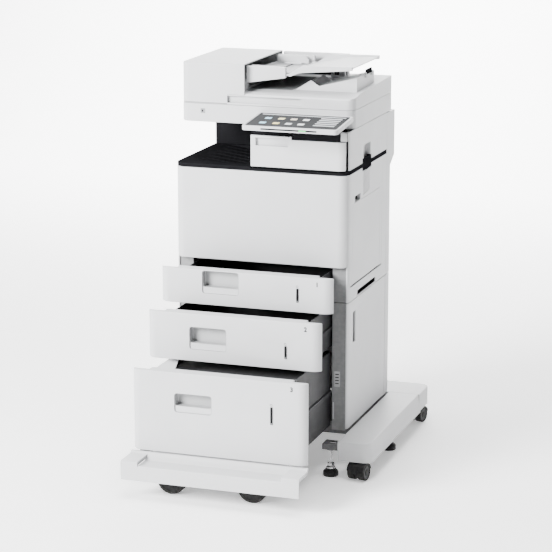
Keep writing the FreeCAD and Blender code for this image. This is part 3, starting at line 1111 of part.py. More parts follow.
    # delivery ramp with its two upright ribs, and the post behind it
    rib = [(61, FEEDER_TOP - 6), (61, FEEDER_TOP - 3), (107, FEEDER_TOP + 26), (131, FEEDER_TOP + 10),
           (TRAY_END, FEEDER_TOP + 38),
           (TRAY_END, FEEDER_TOP - 6)]
    ribs = [prism_y(rib, (128, 133)), prism_y(rib, (247, 252))]
    ramp = prism_y([(128, FEEDER_TOP + 4), (TRAY_END, FEEDER_TOP + 35), (TRAY_END, FEEDER_TOP + 38),
                    (128, FEEDER_TOP + 9)],
                   (130, 300))
    ramp_end = block((TRAY_END - 3, TRAY_END), (130, 300), (FEEDER_TOP - 6, FEEDER_TOP + 38))
    post = block((100, 142), (340, 352), (FEEDER_TOP - 2, BLOCK_TOP - 37))
    window = block((106, 124), (339, 353), (FEEDER_TOP + 10, BLOCK_TOP - 47))
    back_wall = block((GRIP_LEFT + 60, 140), (376, 394), (FEEDER_TOP - 2, BLOCK_TOP - 2))
    stop_ears = [block((STOP_X - 5, STOP_X + 1), (y, y + 3), (FEEDER_TOP + 30, STOP_PIVOT_Z + 4))
                 for y in (STOP_Y[0] - 3.5, STOP_Y[1] + 0.5)]
    extra = fuse(ramp, *ribs, ramp_end, *stop_ears)
    extra = cut(extra,
                rod((STOP_X - 2, STOP_Y[0] - 5, STOP_PIVOT_Z), (0, 1, 0), 1.5 + RUNNING,
                    STOP_Y[1] - STOP_Y[0] + 10))
    solid = fuse(base, root, extra, cut(post, window), back_wall)
    ear_x = TRAY_PIVOT[0]
    ear_z = TRAY_PIVOT[1]
    for y in TRAY_EARS:
        ear = block((TRAY_ROOT_RIGHT - 6, ear_x + 4), (y, y + 4), (ear_z - 5, ear_z + 4))
        solid = fuse(solid, ear)
    solid = cut(solid,
                rod((ear_x, TRAY_EARS[0] - 1, ear_z), (0, 1, 0), 2 + RUNNING,
                    TRAY_EARS[1] - TRAY_EARS[0] + 6))
    nodes["feeder_base"] = solid

    # feed cover: a shell over the core, open to the right
    cover_z = (bottom + 3.0, BLOCK_TOP)
    cover_x = (-HALF, BLOCK_RIGHT)
    outer = slab(cover_x, (SCANNER_FRONT + 2, BLOCK_REAR), cover_z, 0, 0)
    trim = slab((-HALF, HALF), (SCANNER_FRONT + 2, BLOCK_REAR), cover_z, SCANNER_RADIUS, 6)
    outer = outer.common(trim)
    outer = soften(outer, 4.0,
                   lambda edge: at_height(BLOCK_TOP)(edge) and edge.BoundBox.XMin < BLOCK_RIGHT - 1)
    inside = slab((-HALF + WALL, HALF), (SCANNER_FRONT + 2 + WALL, BLOCK_REAR - WALL),
                  (cover_z[0] - 1, BLOCK_TOP - WALL),
                  SCANNER_RADIUS - WALL, 4)
    low_front = block((GRIP_LEFT - 0.5, BLOCK_RIGHT + 1), (front - 1, front + 6),
                      (cover_z[0] - 1, FEEDER_TOP - lip - 0.5))
    low_rear = block((-HALF - 1, BLOCK_RIGHT + 1), (BLOCK_REAR - 6, BLOCK_REAR + 1),
                     (cover_z[0] - 1, FEEDER_TOP + 8))
    cover = cut(outer, inside, low_front, low_rear)
    px, pz = BLOCK_PIVOT
    for y in BLOCK_HINGES:
        gap = block((-HALF - 1, px + 6), (y, y + 7), (bottom, pz + 5))
        cover = fuse(cut(cover, gap), rod((px, y - 3, pz), (0, 1, 0), SMALL_PIN, 13))
    nodes["feed_cover"] = cover

    # hinged end of the supply tray
    px, pz = TRAY_PIVOT
    left = px + 8
    floor = prism_y([(px - 2, pz - 3), (left + 90, BLOCK_TOP - 8), (TRAY_END, BLOCK_TOP - 4),
                     (TRAY_END, BLOCK_TOP - 1),
                     (left + 90, BLOCK_TOP - 5), (px - 2, pz + 1)], (TRAY_FRONT + 2, TRAY_BACK - 2))
    rim_outline = [(px + 6, pz - 5), (left + 30, BLOCK_TOP - 20), (TRAY_END, BLOCK_TOP - 8),
                   (TRAY_END, BLOCK_TOP + 2),
                   (left + 36, BLOCK_TOP), (px + 6, pz + 4)]
    rims = [prism_y(rim_outline, (TRAY_FRONT, TRAY_FRONT + RIM)),
            prism_y(rim_outline, (TRAY_BACK - RIM, TRAY_BACK))]
    knuckle = rod((px, TRAY_EARS[0] + 5, pz), (0, 1, 0), 3.5, TRAY_EARS[1] - TRAY_EARS[0] - 6)
    pins = rod((px, TRAY_EARS[0], pz), (0, 1, 0), 2, TRAY_EARS[1] - TRAY_EARS[0] + 4)
    for y in TRAY_EARS:
        floor = cut(floor, block((px - 10, px + 7), (y - 1, y + 5), (pz - 10, pz + 10)))
    nodes["supply_tray"] = fuse(floor, *rims, knuckle, pins)

    for name, y, side in (("guide_front", GUIDE_FRONT, 1), ("guide_rear", GUIDE_BACK, -1)):
        leaf = prism_y([(-58, ROOT_FLOOR + 0.4), (36, ROOT_FLOOR + 0.4), (36, ROOT_FLOOR + 12),
                        (24, ROOT_FLOOR + 22),
                        (-58, ROOT_FLOOR + 22)], sorted((y, y + side * 3)))
        shoe = block((-30, 20), sorted((y, y + side * 26)), (ROOT_FLOOR + 0.4, ROOT_FLOOR + 3))
        stem = block((-9, -1), sorted((y + side * 4, y + side * 20)), (ROOT_FLOOR - 5, ROOT_FLOOR + 2))
        nodes[name] = fuse(leaf, shoe, stem)

    stop = fuse(block((STOP_X - 3.5, STOP_X - 0.5), STOP_Y, (STOP_PIVOT_Z - 2, STOP_PIVOT_Z + 12)),
                rod((STOP_X - 2, STOP_Y[0] - 3, STOP_PIVOT_Z), (0, 1, 0), 1.5, STOP_Y[1] - STOP_Y[0] + 6))
    nodes["paper_stop"] = stop
    return nodes


def build_panel():
    """Tilting control panel with its touch screen."""
    width = PANEL_RIGHT - PANEL_LEFT
    shell = slab((0, width), (0, PANEL_DEPTH), (-PANEL_THICKNESS, 0), 12, 6)
    shell = soften(shell, 2.0, lambda edge: at_height(0)(edge) or at_height(-PANEL_THICKNESS)(edge))
    margin = 7.0
    well = slab((margin, width - margin), (margin + 2, PANEL_DEPTH - margin + 4), (-2.0, 1), 5, 5)
    screen = slab((margin + 0.2, width - margin - 0.2), (margin + 2.2, PANEL_DEPTH - margin + 3.8),
                  (-2.0, -0.2), 4.8, 4.8)
    placed = []
    origin = V(PANEL_LEFT, PANEL_FRONT, SCANNER_BOTTOM + PANEL_FRONT_ABOVE_BIN)
    for shape in (cut(shell, well), screen):
        piece = shape.copy()
        piece.rotate(V(0, 0, 0), V(1, 0, 0), PANEL_TILT)
        piece.translate(origin)
        placed.append(piece)
    housing, screen = placed
    y, z = PANEL_PIVOT
    under = origin.z + (y - PANEL_FRONT) * math.tan(math.radians(PANEL_TILT)) - PANEL_THICKNESS
    knuckle = rod((PANEL_MIDDLE - 40, y, z), (1, 0, 0), 8, 80)
    web = block((PANEL_MIDDLE - 40, PANEL_MIDDLE + 40), (y - 7, y + 7), (z, under + 2))
    bore = rod((PANEL_MIDDLE - 41, y, z), (1, 0, 0), 3 + RUNNING, 82)
    return {"control_panel": cut(fuse(housing, knuckle, web), bore), "touch_screen": screen}


def build_all():
    """Every node of the machine, moved so that the origin is below the middle."""
    nodes = {}
    for builder in (build_base, build_cabinet, build_drawers, build_main, build_scanner, build_feeder,
                    build_panel):
        nodes.update(builder())
    for shape in nodes.values():
        shape.translate(V(0, -ORIGIN_Y, 0))
    return nodes


def main():
    """Write one STEP file per node."""
    os.makedirs("parts", exist_ok=True)
    for name, shape in build_all().items():
        if not shape.isValid():
            raise ValueError(name + " is not a valid shape")
        shape.exportStep("parts/" + name + ".step")


main()
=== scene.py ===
"""Looks of the office photocopier: moulded covers, drawers, castors, feeder, panel and engine parts."""

import json
import logging
import math
from dataclasses import dataclass
from enum import Enum
from functools import cache

import bmesh
import bpy
import numpy as np
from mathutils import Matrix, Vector


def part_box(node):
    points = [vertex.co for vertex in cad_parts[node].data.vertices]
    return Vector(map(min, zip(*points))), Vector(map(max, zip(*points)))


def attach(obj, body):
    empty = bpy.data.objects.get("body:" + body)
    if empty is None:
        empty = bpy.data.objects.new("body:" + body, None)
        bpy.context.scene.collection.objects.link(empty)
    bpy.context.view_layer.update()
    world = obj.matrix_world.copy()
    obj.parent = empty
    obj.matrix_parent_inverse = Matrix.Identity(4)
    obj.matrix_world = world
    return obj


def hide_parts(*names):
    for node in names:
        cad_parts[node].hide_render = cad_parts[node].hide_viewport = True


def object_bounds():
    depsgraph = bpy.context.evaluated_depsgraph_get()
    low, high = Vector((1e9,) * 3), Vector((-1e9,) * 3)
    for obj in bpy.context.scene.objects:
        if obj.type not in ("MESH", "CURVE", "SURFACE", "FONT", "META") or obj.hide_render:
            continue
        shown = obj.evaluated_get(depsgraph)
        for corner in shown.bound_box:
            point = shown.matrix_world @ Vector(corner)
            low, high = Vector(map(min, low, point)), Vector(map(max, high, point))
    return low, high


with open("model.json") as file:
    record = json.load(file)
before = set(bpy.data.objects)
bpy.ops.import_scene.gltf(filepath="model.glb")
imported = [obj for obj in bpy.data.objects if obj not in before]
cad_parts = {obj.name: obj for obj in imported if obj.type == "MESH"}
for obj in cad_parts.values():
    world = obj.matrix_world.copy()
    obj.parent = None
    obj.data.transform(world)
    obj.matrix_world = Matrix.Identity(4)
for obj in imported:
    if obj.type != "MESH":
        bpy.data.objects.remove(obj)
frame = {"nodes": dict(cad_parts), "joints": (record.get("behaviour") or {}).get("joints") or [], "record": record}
CAD_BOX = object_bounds()
MM = 0.001
UP = Vector((0, 0, 1))
BACKWARDS = Vector((0, 1, 0))
SHARP = math.radians(35)      # edges that turn more than this stay sharp
MERGED = 1e-5                 # points of a CAD mesh closer than this are one
LOG = logging.getLogger("photocopier")
Array = np.ndarray
Pair = tuple[float, float]
Colour = tuple[float, float, float]


class Axis(Enum):
    """Direction of a shaft or a carried profile."""

    X = 0
    Y = 1
    Z = 2


# ---- surfaces ----
def shift(limits: Pair, by: float) -> Pair:
    """Moves a pair of limits by a distance."""
    return limits[0] + by, limits[1] + by


def about(middle: float, half: float) -> Pair:
    """Limits at the same distance on both sides of a place."""
    return middle - half, middle + half


def rounded_rectangle(x: Pair, y: Pair, radii: tuple[float, float, float, float], inset: float = 0.0,
                      steps: int = 7) -> Array:
    """Closed outline of four quarter circles joined by straight sides.

    Formula: each corner point is the corner's centre plus its radius times (cos a, sin a), for a over a
    quarter turn; the inset shortens every radius and moves every side in by the same amount.

    Args:
        x: Left and right limits.
        y: Near and far limits.
        radii: Corner radii, far right, far left, near left, near right.
        inset: Distance by which the outline is drawn in.
        steps: Points on each corner.

    Returns:
        Points as an array of (4 * steps, 2), counter-clockwise.
    """
    radius = np.maximum(np.array(radii, float), 0.05 * MM)
    signs = np.array([[1, 1], [-1, 1], [-1, -1], [1, -1]], float)
    corner = np.array([[x[1], y[1]], [x[0], y[1]], [x[0], y[0]], [x[1], y[0]]], float)
    centre = corner - signs * radius[:, None]
    kept = np.maximum(radius - inset, 0.02 * MM)
    centre = np.where((radius > inset)[:, None], centre, corner - signs * (inset + 0.02 * MM))
    turn = np.linspace(0, math.pi / 2, steps)[None, :] + np.arange(4)[:, None] * math.pi / 2
    circle = np.stack([np.cos(turn), np.sin(turn)], -1)
    return (centre[:, None, :] + kept[:, None, None] * circle).reshape(-1, 2)


def filleted(points: list[Pair], radius: float, steps: int = 6) -> Array:
    """Closed polygon with every corner turned into an arc.

    Formula: the arc's centre lies on the corner's bisector at radius / sin(half angle); its points blend
    the two radii to the tangent points on the sphere of equal length.

    Args:
        points: Corners in order.
        radius: Radius of the arcs.
        steps: Points on each arc.

    Returns:
        Points as an array of (corners * steps, 2).
    """
    corner = np.array(points, float)
    before = np.roll(corner, 1, 0) - corner
    after = np.roll(corner, -1, 0) - corner
    before /= np.linalg.norm(before, axis=1, keepdims=True)
    after /= np.linalg.norm(after, axis=1, keepdims=True)
    angle = np.arccos(np.clip((before * after).sum(1), -1, 1))
    middle = before + after
    middle /= np.maximum(np.linalg.norm(middle, axis=1, keepdims=True), 1e-9)
    centre = corner + middle * (radius / np.sin(angle / 2))[:, None]
    reach = (radius / np.tan(angle / 2))[:, None]
    start = corner + before * reach - centre
    end = corner + after * reach - centre
    sweep = (math.pi - angle)[:, None]
    share = np.linspace(0, 1, steps)[None, :]
    weight_a = np.sin((1 - share) * sweep) / np.sin(sweep)
    weight_b = np.sin(share * sweep) / np.sin(sweep)
    arcs = centre[:, None] + weight_a[..., None] * start[:, None] + weight_b[..., None] * end[:, None]
    return arcs.reshape(-1, 2)


def place(flat: Array, axis: Axis, along: Array | float) -> Array:
    """Stands two-dimensional points up in space, at a distance along an axis.

    Args:
        flat: Points of (..., 2): (y, z) for X, (x, z) for Y, (x, y) for Z.
        axis: Axis that the points don't have.
        along: Distance along the axis.

    Returns:
        Points of (..., 3).
    """
    depth = np.broadcast_to(along, flat.shape[:-1])
    columns = {Axis.X: (depth, flat[..., 0], flat[..., 1]), Axis.Y: (flat[..., 0], depth, flat[..., 1]),
               Axis.Z: (flat[..., 0], flat[..., 1], depth)}
    return np.stack(columns[axis], -1)


def shade(mesh: bpy.types.Mesh) -> None:
    """Shades a mesh smooth except at its sharp edges."""
    mesh.polygons.foreach_set("use_smooth", np.ones(len(mesh.polygons), bool))
    mesh.set_sharp_from_angle(angle=SHARP)


def add_object(name: str, data: bpy.types.ID) -> bpy.types.Object:
    """Makes an object and links it to the scene.

    Args:
        name: Name of the object.
        data: Its mesh, curve, light or camera.

    Returns:
        The new object.
    """
    made = bpy.data.objects.new(name, data)
    bpy.context.scene.collection.objects.link(made)
    return made


def node_points(node: str) -> Array:
    """Points of a CAD node's mesh.

    Args:
        node: CAD node.

    Returns:
        Points of (n, 3).
    """
    mesh = frame["nodes"][node].data
    flat = np.empty(len(mesh.vertices) * 3, np.float32)
    mesh.vertices.foreach_get("co", flat)
    return flat.reshape(-1, 3)


class Shell:
    """Collects surfaces on grids and turns them into one mesh object."""

    def __init__(self) -> None:
        """Starts with no points."""
        self.points: list[Array] = []
        self.faces: list[list[int]] = []
        self.count = 0

    def grid(self, points: Array, wrap_u: bool = False, wrap_v: bool = False) -> "Shell":
        """Adds a grid of points as quads.

        Args:
            points: Grid of (rows, columns, 3).
            wrap_u: Joins the last row to the first.
            wrap_v: Joins the last column to the first.

        Returns:
            The shell itself.
        """
        rows, columns = points.shape[:2]
        u, v = np.meshgrid(np.arange(rows - (not wrap_u)), np.arange(columns - (not wrap_v)), indexing="ij")
        u_next, v_next = (u + 1) % rows, (v + 1) % columns
        quads = np.stack([u * columns + v, u_next * columns + v, u_next * columns + v_next,
                          u * columns + v_next], -1)
        self.faces += (quads.reshape(-1, 4) + self.count).tolist()
        self.points.append(points.reshape(-1, 3))
        self.count += rows * columns
        return self

    def tube(self, rings: Array) -> "Shell":
        """Adds closed rings joined in order, with a flat face over the first and last.

        Args:
            rings: Rings of (rings, points, 3).

        Returns:
            The shell itself.
        """
        start = self.count
        self.grid(rings, wrap_v=True)
        last = start + (rings.shape[0] - 1) * rings.shape[1]
        self.faces.append(list(range(start, start + rings.shape[1])))
        self.faces.append(list(range(last, last + rings.shape[1])))
        return self

    def slab(self, x: Pair, y: Pair, z: Pair, radii: tuple[float, float, float, float] = (0, 0, 0, 0),
             low: float = 0.6 * MM, high: float = 0.6 * MM, axis: Axis = Axis.Z) -> "Shell":
        """Adds a block with rounded upright corners and rounded lower and upper edges.

        Formula: rings of the rounded rectangle; over an edge of radius e the ring at angle a is drawn in
        by e (1 - cos a) and stands e (1 - sin a) from the end face.

        Args:
            x: First limits of the outline.
            y: Second limits of the outline.
            z: Limits along the axis.
            radii: Corner radii of the outline.
            low: Edge radius at the lower end.
            high: Edge radius at the upper end.
            axis: Axis along which the block stands.

        Returns:
            The shell itself.
        """
        turn = np.linspace(0, math.pi / 2, 5)
        inset = np.concatenate([low * (1 - np.sin(turn)), high * (1 - np.cos(turn))])
        height = np.concatenate([z[0] + low * (1 - np.cos(turn)), z[1] - high * (1 - np.sin(turn))])
        rings = [place(rounded_rectangle(x, y, radii, i), axis, h) for i, h in zip(inset, height)]
        return self.tube(np.stack(rings))

    def prism(self, outline: Array, axis: Axis, ends: Pair) -> "Shell":
        """Adds a closed outline carried along an axis.

        Args:
            outline: Points of (n, 2).
            axis: Axis along which it is carried.
            ends: First and last place on the axis.

        Returns:
            The shell itself.
        """
        return self.tube(np.stack([place(outline, axis, end) for end in ends]))

    def collar(self, outer: Array, inner: Array, axis: Axis, ends: Pair) -> "Shell":
        """Adds a plate between two outlines with the same number of points, open in the middle.

        Args:
            outer: Outer outline of (n, 2).
            inner: Inner outline of (n, 2).
            axis: Axis along which the plate is thick.
            ends: First and last place on the axis.

        Returns:
            The shell itself.
        """
        rings = [place(outer, axis, ends[1]), place(outer, axis, ends[0]), place(inner, axis, ends[0]),
                 place(inner, axis, ends[1])]
        return self.grid(np.stack(rings), wrap_u=True, wrap_v=True)

    def cup(self, outer: Array, inner: Array, axis: Axis, ends: Pair, wall: float) -> "Shell":
        """Adds a closed cup that is open towards its first end.

        Args:
            outer: Outer outline of (n, 2).
            inner: Inner outline of (n, 2).
            axis: Axis along which the cup is deep.
            ends: Open end and closed end on the axis.
            wall: Thickness of the bottom.

        Returns:
            The shell itself.
        """
        rings = [place(outer, axis, ends[1]), place(outer, axis, ends[0]), place(inner, axis, ends[0]),
                 place(inner, axis, ends[1] - wall)]
        return self.tube(np.stack(rings))

    def turned(self, profile: Array, centre: Vector, axis: Vector, steps: int = 48,
               ripple: Array | None = None) -> "Shell":
        """Adds a turned surface.

        Formula: centre + height times the axis + radius times (cos a, sin a) across it; a ripple adds to
        the radius for each profile point and angle.

        Args:
            profile: Pairs of (radius, height).
            centre: Point from which heights count.
            axis: Direction of the axis.
            steps: Points round the axis.
            ripple: Optional grid of (profile, steps) added to the radii.

        Returns:
            The shell itself.
        """
        direction = np.array(axis.normalized())
        side = np.array(axis.orthogonal().normalized())
        other = np.cross(direction, side)
        angle = np.linspace(0, 2 * math.pi, steps, endpoint=False)
        circle = np.cos(angle)[:, None] * side + np.sin(angle)[:, None] * other
        radius = np.repeat(profile[:, :1], steps, 1)
        if ripple is not None:
            radius = radius + ripple
        rings = np.array(centre) + profile[:, None, 1:] * direction + radius[..., None] * circle[None]
        return self.tube(rings)

    def build(self, name: str) -> bpy.types.Object:
        """Makes the mesh object, with doubles merged and faces outwards.

        Args:
            name: Name of the piece.

        Returns:
            The new object.
        """
        mesh = bpy.data.meshes.new(name)
        mesh.from_pydata(np.concatenate(self.points).tolist(), [], self.faces)
        work = bmesh.new()
        work.from_mesh(mesh)
        bmesh.ops.remove_doubles(work, verts=work.verts, dist=1e-6)
        bmesh.ops.recalc_face_normals(work, faces=work.faces)
        work.to_mesh(mesh)
        work.free()
        shade(mesh)
        return add_object(name, mesh)


# ---- node groups ----
class NodeKit:
    """Short calls for laying out shader nodes."""

    def __init__(self, tree: bpy.types.NodeTree) -> None:
        """Keeps the tree that the nodes go in."""
        self.tree = tree

    def add(self, kind: str, values: dict[str | int, object] | None = None,
            **settings: object) -> bpy.types.Node:
        """Adds a node, sets its options, and sets or links its inputs.

        Args:
            kind: Node type without its prefix.
            values: Input name or number to a value or to an output socket.
            settings: Attributes of the node.

        Returns:
            The new node.
        """
        node = self.tree.nodes.new("ShaderNode" + kind)
        for key, value in settings.items():
            setattr(node, key, value)
        for key, value in (values or {}).items():
            if isinstance(value, bpy.types.NodeSocket):
                self.tree.links.new(value, node.inputs[key])
            else:
                node.inputs[key].default_value = value
        return node

    def math(self, operation: str, first: object, second: object) -> bpy.types.NodeSocket:
        """Adds a Math node and returns its output."""
        return self.add("Math", {0: first, 1: second}, operation=operation).outputs[0]

    def ramp(self, value: bpy.types.NodeSocket, low: float, high: float, out_low: float = 0.0,
             out_high: float = 1.0) -> bpy.types.NodeSocket:
        """Adds a clamped Map Range node and returns its output."""
        node = self.add("MapRange", {"Value": value, "From Min": low, "From Max": high, "To Min": out_low,
                                     "To Max": out_high})
        return node.outputs["Result"]

    def blend(self, share: object, first: object, second: object) -> bpy.types.NodeSocket:
        """Adds a colour Mix node and returns its colour."""
        return self.add("Mix", {0: share, 6: first, 7: second}, data_type="RGBA").outputs[2]

    def noise(self, scale: object, detail: float, at: bpy.types.NodeSocket) -> bpy.types.NodeSocket:
        """Adds a Noise texture on the given coordinates and returns its value."""
        return self.add("TexNoise", {"Scale": scale, "Detail": detail, "Vector": at}).outputs["Fac"]

    def place(self) -> bpy.types.NodeSocket:
        """Adds Texture Coordinate and returns its object coordinates."""
        return self.add("TexCoord").outputs["Object"]

    def send(self, value: bpy.types.NodeSocket, socket: bpy.types.NodeSocket) -> None:
        """Links an output to an input."""
        self.tree.links.new(value, socket)


def new_group(name: str, inputs: dict[str, object],
              outputs: dict[str, str]) -> tuple[NodeKit, dict, bpy.types.Node]:
    """Starts a shader node group.

    Args:
        name: Name of the group.
        inputs: Socket name to default value; a tuple makes a colour, a number a float.
        outputs: Socket name to what it carries: Color, Float or Vector.
    """
    tree = bpy.data.node_groups.new(name, "ShaderNodeTree")
    for label, value in inputs.items():
        kind = "NodeSocketColor" if isinstance(value, tuple) else "NodeSocketFloat"
        socket = tree.interface.new_socket(label, in_out="INPUT", socket_type=kind)
        socket.default_value = value
    for label, kind in outputs.items():
        tree.interface.new_socket(label, in_out="OUTPUT", socket_type="NodeSocket" + kind)
    source = tree.nodes.new("NodeGroupInput")
    return NodeKit(tree), {s.name: s for s in source.outputs if s.name}, tree.nodes.new("NodeGroupOutput")


SURFACE = {"Colour": "Color", "Roughness": "Float", "Normal": "Vector"}


def moulded_grain() -> bpy.types.NodeTree:
    """Group for moulded plastic: faint clouding of the colour and a fine sparked grain.

    Returns:
        The node tree.
    """
    kit, take, give = new_group(
        "moulded_grain",
        {"Colour": (0.8, 0.8, 0.8, 1.0), "Shade": (0.7, 0.7, 0.7, 1.0), "Cloud Scale": 9.0,
         "Grain Scale": 1500.0, "Grain Depth": 0.05, "Roughness": 0.5, "Roughness Spread": 0.1}, SURFACE)
    at = kit.place()
    cloud = kit.noise(take["Cloud Scale"], 4.0, at)
    grain = kit.noise(take["Grain Scale"], 2.0, at)
    smudge = kit.noise(37.0, 5.0, at)
    tint = kit.blend(kit.ramp(cloud, 0.35, 0.7), take["Colour"], take["Shade"])
    kit.send(tint, give.inputs["Colour"])
    spread = kit.math("MULTIPLY", kit.math("SUBTRACT", smudge, 0.5), take["Roughness Spread"])
    kit.send(kit.math("ADD", take["Roughness"], spread), give.inputs["Roughness"])
    bump = kit.add("Bump", {"Strength": take["Grain Depth"], "Distance": 0.0004, "Height": grain})
    kit.send(bump.outputs["Normal"], give.inputs["Normal"])
    return kit.tree


def drawn_metal() -> bpy.types.NodeTree:
    """Group for rolled and plated sheet: long faint streaks along one way and cloudy plating.

    Returns:
        The node tree.
    """
    kit, take, give = new_group(
        "drawn_metal",
        {"Colour": (0.6, 0.6, 0.6, 1.0), "Shade": (0.4, 0.4, 0.4, 1.0), "Streak Scale": 60.0,
         "Roughness": 0.35, "Roughness Spread": 0.2, "Depth": 0.08}, SURFACE)
    at = kit.place()
    stretched = kit.add("Mapping", {"Vector": at, "Scale": (1.0, 1.0, 22.0)}).outputs["Vector"]
    streak = kit.noise(take["Streak Scale"], 5.0, stretched)
    cloud = kit.add("TexVoronoi", {"Vector": at, "Scale": 90.0}).outputs["Distance"]
    mixed = kit.math("ADD", kit.math("MULTIPLY", streak, 0.7), kit.math("MULTIPLY", cloud, 0.3))
    tint = kit.blend(kit.ramp(mixed, 0.3, 0.7), take["Colour"], take["Shade"])
    kit.send(tint, give.inputs["Colour"])
    spread = kit.math("MULTIPLY", kit.math("SUBTRACT", mixed, 0.5), take["Roughness Spread"])
    kit.send(kit.math("ADD", take["Roughness"], spread), give.inputs["Roughness"])
    bump = kit.add("Bump", {"Strength": take["Depth"], "Distance": 0.0003, "Height": mixed})
    kit.send(bump.outputs["Normal"], give.inputs["Normal"])
    return kit.tree


def handling_marks() -> bpy.types.NodeTree:
    """Group for wear: a sparse mask of hairline scuffs, and dust that thickens towards the floor.

    Returns:
        The node tree.
    """
    kit, take, give = new_group("handling_marks", {"Scuffs": 0.3, "Dust": 0.2},
                                {"Scuff Mask": "Float", "Dust Mask": "Float"})
    at = kit.place()
    slanted = kit.add("Mapping", {"Vector": at, "Rotation": (0.4, 0.7, 0.2), "Scale": (1.0, 14.0, 3.0)})
    line = kit.add("TexVoronoi", {"Vector": slanted.outputs["Vector"], "Scale": 16.0},
                   feature="DISTANCE_TO_EDGE")
    thin = kit.ramp(line.outputs["Distance"], 0.0, 0.012, 1.0, 0.0)
    patch = kit.ramp(kit.noise(11.0, 3.0, at), 0.58, 0.7)
    scuffed = kit.math("MULTIPLY", kit.math("MULTIPLY", thin, patch), take["Scuffs"])
    kit.send(scuffed, give.inputs["Scuff Mask"])
    height = kit.add("SeparateXYZ", {"Vector": at}).outputs["Z"]
    low = kit.ramp(height, 0.0, 0.16, 1.0, 0.0)
    speck = kit.ramp(kit.noise(140.0, 4.0, at), 0.35, 0.75)
    dusty = kit.math("MULTIPLY", kit.math("MULTIPLY", low, speck), take["Dust"])
    kit.send(dusty, give.inputs["Dust Mask"])
    return kit.tree


GROUPS = {"moulded_grain": moulded_grain(), "drawn_metal": drawn_metal(), "handling_marks": handling_marks()}


# ---- finishes ----
def rgba(colour: Colour) -> tuple[float, float, float, float]:
    """Adds a full alpha to a colour."""
    return (*colour, 1.0)


def blank_material(name: str) -> tuple[bpy.types.Material, NodeKit, bpy.types.Node]:
    """Starts a node material.

    Args:
        name: Name of the material.

    Returns:
        The material, a kit on its tree, and its surface shader.
    """
    material = bpy.data.materials.new(name)
    material.use_nodes = True
    return material, NodeKit(material.node_tree), material.node_tree.nodes["Principled BSDF"]


@dataclass(frozen=True)
class Plastic:
    """Moulded plastic with a sparked grain."""

    name: str
    colour: Colour
    shade: Colour
    roughness: float = 0.45
    spread: float = 0.12
    grain: float = 1400.0
    depth: float = 0.06
    scuffs: float = 0.25
    dust: float = 0.3
    coat: float = 0.0
    glow: float = 0.0
    shine: float = 0.5

    @cache
    def material(self) -> bpy.types.Material:
        """Builds the material once and hands it out again after that."""
        material, kit, shader = blank_material(self.name)
        grain = kit.add("Group", {"Colour": rgba(self.colour), "Shade": rgba(self.shade),
                                  "Grain Scale": self.grain, "Grain Depth": self.depth,
                                  "Roughness": self.roughness, "Roughness Spread": self.spread},
                        node_tree=GROUPS["moulded_grain"])
        marks = kit.add("Group", {"Scuffs": self.scuffs, "Dust": self.dust},
                        node_tree=GROUPS["handling_marks"])
        light = rgba(tuple(min(1.0, c * 1.25 + 0.03) for c in self.colour))
        worn = kit.blend(marks.outputs["Scuff Mask"], grain.outputs["Colour"], light)
        dusty = kit.blend(marks.outputs["Dust Mask"], worn, (0.42, 0.40, 0.37, 1.0))
        rubbed = kit.math("MULTIPLY", marks.outputs["Scuff Mask"], 0.25)
        kit.send(dusty, shader.inputs["Base Color"])
        kit.send(kit.math("ADD", grain.outputs["Roughness"], rubbed), shader.inputs["Roughness"])
        kit.send(grain.outputs["Normal"], shader.inputs["Normal"])
        shader.inputs["Specular IOR Level"].default_value = self.shine
        shader.inputs["Coat Weight"].default_value = self.coat
        shader.inputs["Coat Roughness"].default_value = 0.12
        if self.glow:
            kit.send(dusty, shader.inputs["Emission Color"])
            shader.inputs["Emission Strength"].default_value = self.glow
        return material


@dataclass(frozen=True)
class Metal:
    """Plated or coated sheet steel."""

    name: str
    colour: Colour
    shade: Colour
    roughness: float = 0.35
    metallic: float = 1.0
    streaks: float = 60.0

    @cache
    def material(self) -> bpy.types.Material:
        """Builds the material once and hands it out again after that."""
        material, kit, shader = blank_material(self.name)
        sheet = kit.add("Group", {"Colour": rgba(self.colour), "Shade": rgba(self.shade),
                                  "Streak Scale": self.streaks, "Roughness": self.roughness},
                        node_tree=GROUPS["drawn_metal"])
        marks = kit.add("Group", {"Scuffs": 0.5, "Dust": 0.35}, node_tree=GROUPS["handling_marks"])
        dusty = kit.blend(marks.outputs["Dust Mask"], sheet.outputs["Colour"], (0.30, 0.29, 0.27, 1.0))
        rubbed = kit.math("MULTIPLY", marks.outputs["Scuff Mask"], 0.3)
        kit.send(dusty, shader.inputs["Base Color"])
        kit.send(kit.math("ADD", sheet.outputs["Roughness"], rubbed), shader.inputs["Roughness"])
        kit.send(sheet.outputs["Normal"], shader.inputs["Normal"])
        shader.inputs["Metallic"].default_value = self.metallic
        return material


@dataclass(frozen=True)
class Glass:
    """Clear float glass with a faint film."""

    name: str
    colour: Colour

    @cache
    def material(self) -> bpy.types.Material:
        """Builds the material once and hands it out again after that."""
        material, kit, shader = blank_material(self.name)
        at = kit.place()
        film = kit.ramp(kit.noise(24.0, 5.0, at), 0.4, 0.75, 0.02, 0.14)
        kit.send(film, shader.inputs["Roughness"])
        tint = kit.blend(kit.noise(6.0, 2.0, at), rgba(self.colour), (0.86, 0.93, 0.91, 1.0))
        kit.send(tint, shader.inputs["Base Color"])
        shader.inputs["Transmission Weight"].default_value = 0.85
        shader.inputs["IOR"].default_value = 1.5
        return material


